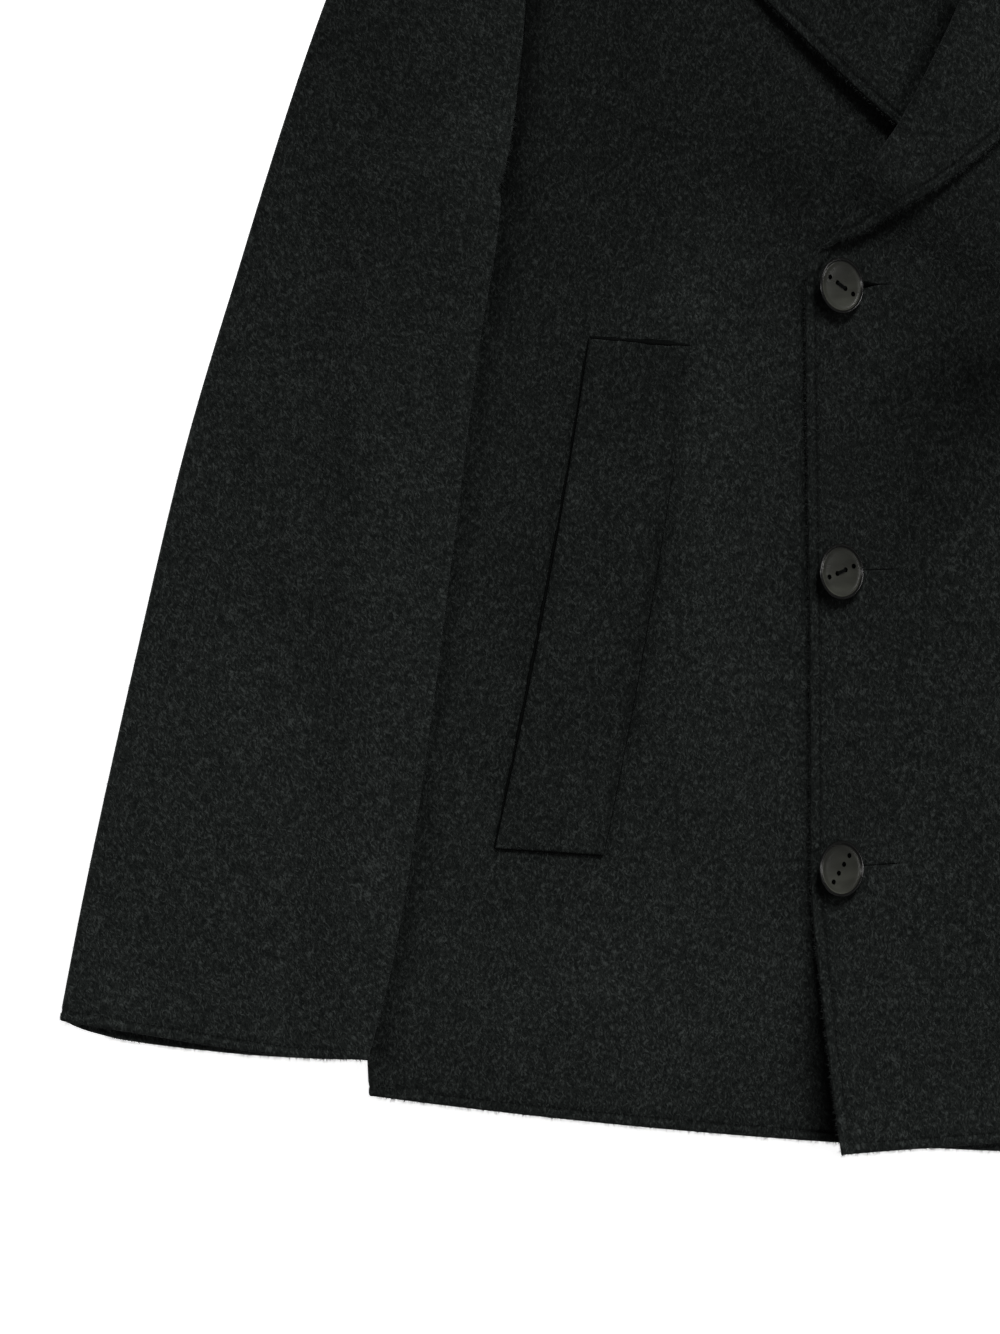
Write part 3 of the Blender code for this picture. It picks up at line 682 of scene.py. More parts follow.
@dataclass(frozen=True)
class Horn:
    """Moulded imitation horn, dark and satin, with faint clouds and fine scratches, painted shade on its
    rim's side and in its holes, and painted light towards its lower edge.
    """

    name: str = "button_horn"
    ground: tuple[float, float, float] = (0.0184, 0.0188, 0.0150)
    pale: tuple[float, float, float] = (0.0300, 0.0312, 0.0250)
    rim_and_hole_shade: tuple[float, float, float] = (0.0025, 0.0025, 0.0022)  # painted shade on the rim's outer side and in the holes
    lower_edge_light: float = 0.6  # painted light: how much lighter the face is towards its lower edge, and darker towards its upper one

    def make(self) -> bpy.types.Material:
        """Builds the material.

        Returns:
            The material.
        """
        made, graph, shader = new_material(self.name)
        local = graph.add("ShaderNodeTexCoord").outputs["Object"]
        wide = graph.vector("MULTIPLY", local, (1.0, 2.4, 1.0))
        streaks = graph.mask(graph.noise(wide, 60.0, 3.0, 0.5), 0.35, 0.68)
        colour = graph.blend(streaks, (*self.ground, 1.0), (*self.pale, 1.0))
        # Painted light, lighter towards the face's lower edge.
        gain = graph.math("ADD", graph.math("MULTIPLY", graph.attribute("low"), self.lower_edge_light), 1.0)
        # Painted shade on the rim's side and in the holes.
        colour = graph.blend(graph.attribute("rim_and_hole_shade"), graph.scaled(colour, gain), (*self.rim_and_hole_shade, 1.0))
        fine = graph.noise(local, 2600.0, 3.0, 0.6)
        inputs = {
            "Base Color": colour,
            "Roughness": graph.math("ADD", graph.math("MULTIPLY", fine, 0.10), 0.20),
            "Normal": graph.bump(fine, 0.04, 0.0001),
            "Specular IOR Level": 0.5,
            "Coat Weight": 0.15,
            "Coat Roughness": 0.08,
        }
        graph.feed(shader, inputs)
        return made


@dataclass(frozen=True)
class Thread:
    """Spun thread with its twist; its dark colour also serves the cords of painted shade in the ditches."""

    name: str = "thread"
    ground: tuple[float, float, float] = (0.0013, 0.0016, 0.0015)
    pale: tuple[float, float, float] = (0.0031, 0.0036, 0.0034)

    def make(self) -> bpy.types.Material:
        """Builds the material.

        Returns:
            The material.
        """
        made, graph, shader = new_material(self.name)
        local = graph.add("ShaderNodeTexCoord").outputs["Object"]
        twist = graph.noise(graph.vector("MULTIPLY", local, (1.0, 1.0, 1.6)), 2600.0)
        colour = graph.blend(graph.mask(twist, 0.35, 0.65), (*self.ground, 1.0), (*self.pale, 1.0))
        inputs = {"Base Color": colour, "Normal": graph.bump(twist, 0.6, 0.0002)}
        graph.feed(shader, inputs | {"Roughness": 0.7, "Specular IOR Level": 0.1})
        return made


# --- Meshes ------------------------------------------------------------------------------------


def linked(name: str, mesh: bpy.types.Mesh, finish: bpy.types.Material) -> bpy.types.Object:
    """Makes a piece of the coat.

    Args:
        name: The piece's name.
        mesh: Its mesh, in metres and in place.
        finish: Its material.

    Returns:
        The piece.
    """
    mesh.materials.clear()
    mesh.materials.append(finish)
    piece = bpy.data.objects.new(name, mesh)
    bpy.context.collection.objects.link(piece)
    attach(piece, "root")
    LOG.info("%s: %d faces", name, len(mesh.polygons))
    return piece


def metres(points: Array) -> Array:
    """Points of the tables, in the frame's metres."""
    return (points - (0.0, ORIGIN_Y, 0.0)) * MM


def mesh_of(name: str, points: Array, faces: list[Any], smooth: bool = True) -> bpy.types.Mesh:
    """Makes a mesh.

    Args:
        name: Its name.
        points: Its points, in metres.
        faces: The numbers of each face's points.
        smooth: Whether it is shaded smooth.

    Returns:
        The mesh.
    """
    mesh = bpy.data.meshes.new(name)
    mesh.from_pydata(points.tolist(), [], faces)
    if smooth:
        mesh.shade_smooth()
    return mesh


def formed(name: str, form: bmesh.types.BMesh) -> bpy.types.Mesh:
    """Makes a mesh of a form, which isn't used again.

    Args:
        name: The mesh's name.
        form: The form.

    Returns:
        The mesh.
    """
    mesh = bpy.data.meshes.new(name)
    form.to_mesh(mesh)
    form.free()
    return mesh


def tag(mesh: bpy.types.Mesh, name: str, values: Array, kind: str = "FLOAT", of: str = "POINT") -> None:
    """Gives each point or face of a mesh a value, or a vector."""
    key = "vector" if kind == "FLOAT_VECTOR" else "value"
    mesh.attributes.new(name, kind, of).data.foreach_set(key, values.ravel())


def tree_of(points: Array) -> KDTree:
    """Puts points in a tree, where the nearest one is found fast.

    Args:
        points: The points.

    Returns:
        The tree, with the points' numbers.
    """
    tree = KDTree(len(points))
    for number, point in enumerate(points.tolist()):
        tree.insert(point, number)
    tree.balance()
    return tree


def quads(shape: tuple[int, int], start: int) -> Array:
    """The faces of a grid whose points are numbered from start, row by row."""
    number = start + np.arange(shape[0] * shape[1]).reshape(shape)
    corners = (number[:-1, :-1], number[:-1, 1:], number[1:, 1:], number[1:, :-1])
    return np.stack(corners, axis=-1).reshape(-1, 4)


def resampled(line: Array, step: float) -> Array:
    """Points at even steps along a line of points."""
    gaps = np.linalg.norm(np.diff(line, axis=0), axis=1)
    walked = np.concatenate(([0.0], np.cumsum(gaps)))
    at = np.linspace(0.0, walked[-1], max(2, round(walked[-1] / step) + 1))
    return np.stack([np.interp(at, walked, line[:, i]) for i in range(line.shape[1])], axis=1)


@dataclass(frozen=True)
class PaintedShade:
    """A band of painted shade beside an edge of the piece above it, where the cloth looks darker.

    Attributes:
        line: The band's middle, how far it reaches there, and how much lighter it is.
        both: Whether the other side has one too.
    """

    line: dict[str, Array]
    both: bool = True

    def tones(self, x: Array, y: Array) -> Array:
        """Finds how much lighter some points are, as a share.

        Args:
            x: Their places across, in millimetres.
            y: Their heights.

        Returns:
            One share for each point.
        """
        x = -np.abs(x) if self.both else x
        knots = np.stack(list(self.line.values()), axis=1)
        closest, tone = np.full(len(x), np.inf), np.zeros(len(x))
        for start, stop in zip(knots, knots[1:]):
            span = stop - start
            share = ((x - start[0]) * span[0] + (y - start[1]) * span[1]) / (span[:2] @ span[:2])
            at = start + np.clip(share, 0, 1)[:, None] * span
            gap = np.hypot(x - at[:, 0], y - at[:, 1])
            tone = np.where(gap < closest, at[:, 3] * np.exp(-((gap / at[:, 2]) ** 2)), tone)
            closest = np.minimum(gap, closest)
        return tone


@dataclass(frozen=True)
class NapLieAndShade:
    """Soft patches where the cloth looks lighter or darker, partly where the nap is brushed another way and
    partly painted shade where the cloth dips and swells.

    Attributes:
        patches: Each patch's middle, how far it reaches, and how much lighter it is.
        painted_shades: The bands of painted shade beside edges.
        at_hem: How much lighter the cloth is at the hem, as painted light.
        rise: The height over which that turns into the opposite.
    """

    patches: dict[str, Array]
    painted_shades: tuple[PaintedShade, ...] = ()
    at_hem: float = 0.2
    rise: float = 330.0

    def tones(self, spots: Array) -> Array:
        """Adds the patches up.

        Args:
            spots: Points in metres.

        Returns:
            How much lighter each point is, as a share.
        """
        x, y = spots[:, 0] / MM, spots[:, 1] / MM + ORIGIN_Y
        # Painted light: lighter at the hem, turning into painted shade above the rise.
        tone = self.at_hem * (1 - y / self.rise)
        for at_x, at_y, reach_x, reach_y, change in zip(*self.patches.values()):
            tone += change * np.exp(-(((x - at_x) / reach_x) ** 2) - ((y - at_y) / reach_y) ** 2)
        # Painted shade beside the edges of the pieces above.
        for band in self.painted_shades:
            tone += band.tones(x, y)
        return tone


# Painted shade on the body along the sleeve's inner edge, where the raised sleeve shades it.
SHADE_BY_SLEEVE = PaintedShade(
    table(
        "x y reach tone",
        (-210.0, 640.0, 7.0, -0.34),
        (-211.0, 575.0, 7.0, -0.38),
        (-216.0, 525.0, 7.5, -0.40),
        (-224.0, 490.0, 8.0, -0.42),
        (-226.0, 453.0, 8.0, -0.40),
        (-238.0, 377.0, 6.0, -0.32),
        (-248.0, 303.0, 5.0, -0.30),
        (-262.0, 196.0, 5.0, -0.32),
        (-277.0, 96.0, 6.5, -0.44),
        (-288.0, 50.0, 7.0, -0.50),
    )
)
# Painted shade on the front beside the welt's inner edge.
SHADE_BY_WELT = PaintedShade(
    table(
        "x y reach tone",
        (-132.5, 401.5, 2.5, -0.16),
        (-141.5, 338.0, 3.0, -0.24),
        (-152.0, 274.5, 4.5, -0.38),
        (-163.5, 211.0, 4.5, -0.30),
        (-176.0, 147.5, 3.0, -0.18),
    )
)
# Painted shadow on the lower front beside the upper front's free edge, widest at the hem where that edge
# curls up.
SHADE_BY_FREE_EDGE = PaintedShade(
    table(
        "x y reach tone",
        (-74.5, 425.0, 1.6, -0.25),
        (-73.0, 160.0, 1.8, -0.30),
        (-70.5, 122.0, 4.0, -0.70),
        (-68.0, 67.0, 8.0, -0.92),
        (-64.0, 7.0, 11.0, -0.97),
    ),
    both=False,
)
# Painted shadow of the upper lapel's roll on the lapel under it.
SHADE_BY_ROLL_LINE = PaintedShade(
    table(
        "x y reach tone",
        (-38.0, 500.0, 3.0, 0.0),
        (-26.5, 521.0, 4.0, -0.30),
        (-10.8, 550.0, 5.0, -0.55),
        (1.0, 575.0, 5.0, -0.60),
        (24.0, 623.0, 5.0, -0.50),
    ),
    both=False,
)
# The body's patches, partly painted shade, with painted shade beside the sleeve and the welt.
BODY_LIE_AND_SHADE = NapLieAndShade(
    table(
        "x y reach_x reach_y tone",
        (-200.0, 545.0, 60.0, 100.0, -0.16),
        (-128.0, 510.0, 60.0, 70.0, -0.16),
        (-78.0, 480.0, 30.0, 36.0, -0.22),
        (-212.0, 375.0, 20.0, 130.0, -0.12),
        (-134.0, 425.0, 17.0, 17.0, 0.30),
        (-122.0, 360.0, 18.0, 90.0, 0.18),
        (-108.0, 225.0, 38.0, 70.0, 0.14),
        (-148.0, 80.0, 80.0, 50.0, 0.20),
        (-230.0, 110.0, 60.0, 80.0, 0.08),
        (16.0, 383.0, 24.0, 36.0, -0.36),
        (-14.0, 348.0, 36.0, 52.0, -0.22),
        (0.0, 410.0, 40.0, 70.0, -0.16),
        (-44.0, 560.0, 30.0, 50.0, -0.14),
        (-28.0, 275.0, 40.0, 90.0, -0.07),
        (5.0, 12.0, 40.0, 30.0, 0.16),
        (150.0, 500.0, 80.0, 90.0, -0.16),
        (200.0, 350.0, 24.0, 130.0, -0.12),
        (110.0, 330.0, 24.0, 90.0, 0.14),
        (140.0, 90.0, 70.0, 50.0, 0.12),
    ),
    (SHADE_BY_SLEEVE, SHADE_BY_WELT),
)
# The right front adds painted shadow beside the upper front's free edge and under its roll.
RIGHT_FRONT_LIE_AND_SHADE = replace(BODY_LIE_AND_SHADE, painted_shades=(SHADE_BY_SLEEVE, SHADE_BY_WELT, SHADE_BY_FREE_EDGE, SHADE_BY_ROLL_LINE))
# The welts' patches, partly painted shade, with painted shade beside the inner edge.
WELT_LIE_AND_SHADE = NapLieAndShade(
    table(
        "x y reach_x reach_y tone",
        (-150.0, 385.0, 34.0, 30.0, -0.18),
        (-180.0, 280.0, 30.0, 90.0, -0.06),
        (150.0, 385.0, 34.0, 30.0, -0.18),
    ),
    (SHADE_BY_WELT,),
)
# The sleeves' patches, partly painted shade, with painted light towards the cuff.
SLEEVE_LIE_AND_SHADE = NapLieAndShade(
    table(
        "x y reach_x reach_y tone",
        (-302.0, 530.0, 50.0, 70.0, -0.20),
        (-332.0, 322.0, 22.0, 50.0, -0.12),
        (-262.0, 450.0, 24.0, 70.0, -0.10),
        (-358.0, 225.0, 40.0, 70.0, 0.07),
        (-420.0, 85.0, 20.0, 28.0, 0.10),
        (-312.0, 165.0, 34.0, 50.0, 0.06),
        (302.0, 500.0, 50.0, 60.0, -0.08),
        (345.0, 280.0, 24.0, 60.0, -0.10),
        (380.0, 150.0, 40.0, 60.0, 0.08),
    ),
    at_hem=0.46,
    rise=500.0,
)


@dataclass
class CutPiece:
    """One cut piece of cloth, made of grids that share their edges.

    Attributes:
        node: The node that it replaces.
        grids: Its grids, in the middle of the cloth.
        stitched: Lines along its edges that are turned and stitched.
        seams: The lines where the stitches run.
        flat: The width and length of its cut, in metres.
        hold: How it is held.
        rests_on: The nodes that it lies on.
        wall: The cloth's thickness.
        grain_turn: The angle of its grain from Y, in degrees.
        lie: Where its nap looks lighter or darker, with painted shade beside edges and painted light
            towards the hem.
        slits: The start, end and height of each buttonhole in its first grid.
        ditch_shades: Lines of dark cord beside its edge, painted shade in the ditch there, each with the
            cord's radius.
        fringe: Lines where loose fibres of the nap stand out.
    """

    node: str
    grids: list[Array]
    stitched: list[Array]
    seams: list[Array]
    flat: tuple[float, float]
    rests_on: list[str]
    hold: Hold = Hold.LAID
    wall: float = WALL
    grain_turn: float = 0.0
    lie: NapLieAndShade = field(default_factory=lambda: BODY_LIE_AND_SHADE)
    slits: list[tuple[float, float, float]] = field(default_factory=list)
    ditch_shades: list[tuple[Array, float]] = field(default_factory=list)
    fringe: list[Array] = field(default_factory=list)

    def surface(self) -> bpy.types.Mesh:
        """Joins the grids into one surface, and opens its slits.

        Returns:
            A mesh in the middle of the cloth.
        """
        points = np.concatenate([grid.reshape(-1, 3) for grid in self.grids])
        starts = np.concatenate(([0], np.cumsum([grid.shape[0] * grid.shape[1] for grid in self.grids])))
        faces = np.concatenate([quads(g.shape[:2], int(s)) for g, s in zip(self.grids, starts)])
        cloth = np.ones(len(faces), bool)
        for slit in self.slits:
            cloth[self.opening(*slit)] = False
        mesh = mesh_of(self.node + "_cloth", metres(points), faces[cloth].tolist(), smooth=False)
        form = bmesh.new()
        form.from_mesh(mesh)
        bmesh.ops.remove_doubles(form, verts=form.verts, dist=1e-6)
        bmesh.ops.dissolve_degenerate(form, edges=form.edges, dist=1e-6)
        bmesh.ops.recalc_face_normals(form, faces=form.faces)
        form.to_mesh(mesh)
        form.free()
        return mesh

    def opening(self, start: float, stop: float, height: float) -> Array:
        """Finds the faces of the first grid that a slit takes away.

        Args:
            start: Where the slit starts.
            stop: Where it ends.
            height: The height of its row at the grid's first column.

        Returns:
            The faces' numbers.
        """
        grid = self.grids[0]
        row = int(np.searchsorted(grid[:, 0, 1], height)) - 1
        x = (grid[row, 1:, 0] + grid[row, :-1, 0]) / 2
        return row * len(x) + np.flatnonzero((x > start) & (x < stop))

    def grain(self, spots: Array) -> Array:
        """Gives each point its place across and along the grain, in metres.

        Args:
            spots: The points, in metres.

        Returns:
            One vector for each point.
        """
        turn = np.radians(self.grain_turn)
        x, y, z = spots.T
        across = x * np.cos(turn) - y * np.sin(turn)
        along = x * np.sin(turn) + y * np.cos(turn)
        return np.stack((across, along, z), axis=1)

    def weights(self, mesh: bpy.types.Mesh, spots: Array) -> tuple[Array, Array]:
        """Finds how thick the cloth is at each point, and how far it is from a stitched edge.

        Args:
            mesh: The surface in the middle of the cloth.
            spots: Its points, in metres.

        Returns:
            Shares of the wall, and distances in metres.
        """
        form = bmesh.new()
        form.from_mesh(mesh)
        rim = [edge for edge in form.edges if edge.is_boundary]
        ends = np.array([[tuple(v.co) for v in edge.verts] for edge in rim])
        form.free()
        share = np.linspace(0.0, 1.0, RIM_POINTS)[:, None, None]
        rim_points = (ends[None, :, 0] * (1 - share) + ends[None, :, 1] * share).reshape(-1, 3)
        to_rim = nearest(rim_points, spots) / MM
        border = np.full(len(spots), FAR_OFF)
        if self.stitched:
            lines = np.concatenate([resampled(line, RIM_STEP) for line in self.stitched])
            border = nearest(metres(lines), spots) / MM
        x, y = spots[:, 0] / MM, spots[:, 1] / MM + ORIGIN_Y
        reach, least = np.full(len(spots), RIM_REACH), np.full(len(spots), RIM_WALL)
        for start, stop, height in self.slits:
            by_slit = (x > start - 1) & (x < stop + 1) & (np.abs(y - height) < SLIT_ROWS[-1])
            reach[by_slit], least[by_slit] = SLIT_REACH, SLIT_WALL
        rounded = np.sqrt(np.clip(1 - (1 - np.clip(to_rim / reach, 0.0, 1.0)) ** 2, 0.0, 1.0))
        weight = least + (1 - least) * rounded
        weight *= 1 - DENT * np.exp(-(((border - EDGE_ROWS[STITCH_ROW]) / DENT_REACH) ** 2))
        weight *= 1 + SWELL * np.exp(-(((border - SWELL_AT) / SWELL_REACH) ** 2))
        return weight, border * MM

    def build(
        self,
        finish: bpy.types.Material,
        thread: bpy.types.Material,
        fibre: bpy.types.Material,
        sewing: Sewing,
    ) -> None:
        """Builds the cloth, its stitches and its loose fibres.

        Args:
            finish: The cloth's material.
            thread: The thread's material.
            fibre: The loose fibres' material.
            sewing: The machine's stitch.
        """
        mesh = self.surface()
        spots = np.empty(len(mesh.vertices) * 3)
        mesh.vertices.foreach_get("co", spots)
        spots = spots.reshape(-1, 3)
        weight, border = self.weights(mesh, spots)
        area = sum(face.area for face in mesh.polygons)
        tag(mesh, "border", border)
        # The lie holds the nap's patches, painted shade and painted light.
        tag(mesh, "lie", self.lie.tones(spots))
        tag(mesh, "grain", self.grain(spots), "FLOAT_VECTOR")
        mesh.shade_smooth()
        piece = linked(self.node + "_cloth", mesh, finish)
        body = piece.vertex_groups.new(name="wall")
        for share in np.unique(np.round(weight, 2)):
            body.add(np.flatnonzero(np.round(weight, 2) == share).tolist(), float(share), "REPLACE")
        wall = piece.modifiers.new("wall", "SOLIDIFY")
        wall.thickness = self.wall * MM
        wall.offset = 0.0
        wall.vertex_group = "wall"
        wall.thickness_vertex_group = 0.0
        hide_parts(self.node)
        if self.seams:
            rise = self.wall / 2 * (1 - DENT) - SEAM_SINK
            stitches = sewing.row([line + (0.0, 0.0, rise) for line in self.seams])
            linked(self.node + "_stitches", stitches, thread)
        if self.slits:
            panel = self.grids[0].reshape(-1, 3)
            bars = sewing.buttonholes(self.slits, panel, self.wall)
            linked(self.node + "_buttonholes", bars, thread)
        # Dark cords in the ditches beside the edge, painted shade.
        if self.ditch_shades:
            seam_shade = sewing.ditch(self.ditch_shades)
            linked(self.node + "_ditches", seam_shade, thread)
        if self.fringe:
            hairs = Fibres().along(self.fringe)
            linked(self.node + "_fibres", hairs, fibre)
        whole = self.flat[0] * self.flat[1]
        LOG.info("%s: area %.4f, share of its rectangle %.2f", self.node, area, area / whole)
        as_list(self.rests_on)


def nearest(points: Array, spots: Array) -> Array:
    """Distances from some spots to the nearest of some points."""
    tree = tree_of(points)
    return np.array([tree.find(spot)[2] for spot in spots.tolist()])


# --- Sewing ------------------------------------------------------------------------------------


@dataclass(frozen=True)
class Sewing:
    """A lockstitch seam: short stitches of thread that sink into the nap."""

    length: float = 2.7
    pitch: float = 3.3
    radius: float = 0.2
    sides: int = 5
    bar_length: float = 1.9  # of the stitches round a buttonhole
    bar_pitch: float = 0.62
    bar_offset: float = 1.35  # from the slit to their middle
    bar_slant: float = 0.25  # how much they lean along the slit
    ditch_sides: int = 8
    ditch_step: float = 1.5
    ditch_end: float = 16.0  # length over which a shade cord grows from its end
    ditch_tip: float = 0.35  # its size there, as a share
    # The swells along a shade cord: each one's share, turn in radians per mm, and start.
    ditch_waves: tuple[tuple[float, float, float], ...] = (
        (0.42, 0.0245, -0.9),
        (0.25, 0.21, 1.0),
        (0.15, 0.67, 0.0),
    )
    # The rings of a stitch: place along it, size, and height, as shares.
    rings: tuple[tuple[float, float, float], ...] = (
        (-0.5, 0.35, -0.5),
        (-0.3, 0.9, -0.05),
        (0.0, 1.0, 0.1),
        (0.3, 0.9, -0.05),
        (0.5, 0.35, -0.5),
    )

    def stitch(self) -> tuple[Array, Array]:
        """Makes one stitch along X.

        Returns:
            Its points, and its faces of four corners.
        """
        angles = np.arange(self.sides) * 2 * np.pi / self.sides
        points = [
            (x * self.length, size * self.radius * np.cos(a), self.radius * (rise + size * np.sin(a)))
            for x, size, rise in self.rings
            for a in angles
        ]
        return np.array(points), tube_faces(len(self.rings), self.sides)

    def row(self, lines: list[Array]) -> bpy.types.Mesh:
        """Sews along lines.

        Args:
            lines: Lines of points in the tables' millimetres.

        Returns:
            A mesh of all the stitches.
        """
        paths = [resampled(line, self.pitch) for line in lines]
        middle = np.concatenate([(path[1:] + path[:-1]) / 2 for path in paths])
        return self.placed(middle, np.concatenate([np.diff(path, axis=0) for path in paths]))

    def buttonholes(
        self, slits: Sequence[tuple[float, float, float]], panel: Array, wall: float
    ) -> bpy.types.Mesh:
        """Sews close stitches round buttonholes, square to their edges.

        Args:
            slits: The start, end and height of each.
            panel: Points in the middle of the cloth that they are cut in.
            wall: The cloth's thickness.

        Returns:
            A mesh of all the stitches.
        """
        middle, along = [], []
        tree = tree_of(panel * (1.0, 1.0, 0.0))
        for start, stop, height in slits:
            for x in np.arange(start, stop + self.bar_pitch, self.bar_pitch):
                for way in (-1.0, 1.0):
                    y = height + way * self.bar_offset
                    z = panel[tree.find((x, y, 0.0))[1], 2] + wall / 2 - self.radius
                    middle.append((x, y, z))
                    along.append((self.bar_slant, way, 0.0))
        return self.placed(np.array(middle), np.array(along), self.bar_length / self.length)

    def ditch(self, lines: Sequence[tuple[Array, float]]) -> bpy.types.Mesh:
        """Lays uneven dark cords in the ditch beside an edge, as painted shade of the ditch.

        Args:
            lines: Lines of points in the tables' millimetres, each with the cord's radius.

        Returns:
            A mesh of closed cords.
        """
        paths = []
        for line, radius in lines:
            path = resampled(line, self.ditch_step)
            step = self.ditch_step * np.arange(len(path))
            size = np.ones(len(path))
            for share, rate, start in self.ditch_waves:
                size += share * np.sin(rate * step + start)
            grown = np.minimum(step, step[-1] - step) / self.ditch_end + self.ditch_tip
            paths.append((path, radius * size * np.clip(grown, 0.0, 1.0)))
        spots, faces = cords(paths, self.ditch_sides, (0.0, 0.0, 1.0))
        return mesh_of("ditch", metres(spots), faces)

    def placed(self, middle: Array, along: Array, stretch: float = 1.0) -> bpy.types.Mesh:
        """Places stitches.

        Args:
            middle: The middle of each, in the tables' millimetres.
            along: The way that each of them runs.
            stretch: Their length as a share of a seam's stitch.

        Returns:
            A mesh of all the stitches.
        """
        points, faces = self.stitch()
        points = points * (stretch, 1.0, 1.0)
        ends = np.arange(self.sides)
        caps = [ends[::-1].tolist(), (ends + len(points) - self.sides).tolist()]
        along = unit(along)
        side = unit(np.cross((0.0, 0.0, 1.0), along))
        axes = np.stack((along, side, np.cross(along, side)), axis=1)
        spots = middle[:, None] + points @ axes
        starts = np.arange(len(middle)) * len(points)
        corners = (faces + starts[:, None, None]).reshape(-1, 4).tolist()
        corners += [[c + int(start) for c in cap] for start in starts for cap in caps]
        return mesh_of("stitches", metres(spots.reshape(-1, 3)), corners)


@dataclass(frozen=True)
class Fibres:
    """Loose fibres of the nap that stand out at an edge."""

    per_mm: float = 6.0
    longest: float = 2.0
    radius: float = 0.13
    tuft: int = 9  # fibres that stand out together
    fan: float = 0.9  # the most that one leans up or down, in radians
    slant: float = 0.6  # how much it leans along the line
    lengths: tuple[float, float] = (0.4, 1.0)  # shares of the longest
    tufted: tuple[float, float] = (0.4, 1.4)  # the least and the most that a tuft stretches them
    corners: tuple[float, ...] = (0.0, 2.1, 4.2)  # of a root, as angles
    seed: int = 5

    def along(self, lines: list[Array]) -> bpy.types.Mesh:
        """Sets fibres along lines, square to them.

        Args:
            lines: Lines of points in the tables' millimetres.

        Returns:
            A mesh of closed needles.
        """
        chance = np.random.default_rng(self.seed)
        paths = [resampled(line, 1 / self.per_mm) for line in lines]
        roots = np.concatenate([path[:-1] for path in paths])
        along = unit(np.concatenate([np.diff(path, axis=0) for path in paths]))
        side = unit(np.cross((0.0, 0.0, 1.0), along))
        count = len(roots)
        angle = chance.uniform(-self.fan, self.fan, count) + np.pi * chance.integers(0, 2, count)
        out = side * np.cos(angle)[:, None] + np.cross(along, side) * np.sin(angle)[:, None]
        out += along * chance.normal(0.0, self.slant, count)[:, None]
        tufts = np.convolve(chance.uniform(0.0, 2.0, count), np.full(self.tuft, 1 / self.tuft), "same")
        length = self.longest * chance.uniform(*self.lengths, count) * np.clip(tufts**3, *self.tufted)
        other = np.cross(out, along)
        corners = [roots + self.radius * (np.cos(a) * along + np.sin(a) * other) for a in self.corners]
        lowest = (-np.inf, -np.inf, self.radius)  # none goes under the floor
        tips = np.maximum(roots + out * length[:, None], lowest)
        spots = np.stack([*corners, tips], axis=1).reshape(-1, 3)
        needle = np.array(((0, 2, 1), (0, 1, 3), (1, 2, 3), (2, 0, 3)))
        faces = (needle + 4 * np.arange(count)[:, None, None]).reshape(-1, 3)
        return mesh_of("fibres", metres(spots), faces.tolist(), smooth=False)


def cords(
    paths: Sequence[tuple[Array, Array]], sides: int, across: tuple[float, float, float]
) -> tuple[Array, list[list[int]]]:
    """Makes closed cords.

    Args:
        paths: The points of each one's middle, and its radius at each point.
        sides: Points in a ring.
        across: A direction that no path takes.

    Returns:
        Their points and faces.
    """
    spots, faces, start = [], [], 0
    for path, radius in paths:
        spots.append(tube(path, radius, sides, across))
        last = start + len(spots[-1])
        faces += (tube_faces(len(path), sides) + start).tolist()
        faces += [list(range(start, start + sides))[::-1], list(range(last - sides, last))]
        start = last
    return np.concatenate(spots), faces


def tube_faces(rings: int, sides: int) -> Array:
    """The faces between rings of points that follow each other."""
    number = np.arange(rings * sides).reshape(rings, sides)
    beside = np.roll(number, -1, axis=1)
    corners = (number[:-1], beside[:-1], beside[1:], number[1:])
    return np.stack(corners, axis=-1).reshape(-1, 4)


# --- The cut pieces ----------------------------------------------------------------------------

# The armhole: the front's edge and the back's, by height.
ARMHOLE = table(
    "y front_x back_x",
    (470.0, 231.0, 252.5),
    (500.0, 222.5, 240.0),
    (530.0, 218.5, 233.0),
    (565.0, 215.0, 229.0),
    (610.0, 213.0, 227.0),
    (655.0, 219.0, 229.0),
    (682.0, 229.0, 232.5),
    (698.0, 237.0, 235.0),
)
UNDERARM = 480.0  # height from which the armhole gives a piece its edge
SAG_FADES = 110.0  # height over which the hem's and the cuff's sag dies out
BUTTON_ROWS = (431.5, 289.0, 141.0)


def armhole(line: str, heights: Array) -> Array:
    """Where the armhole runs, for the front's or the back's edge."""
    return between(ARMHOLE["y"], ARMHOLE[line + "_x"], heights)[:, 0]


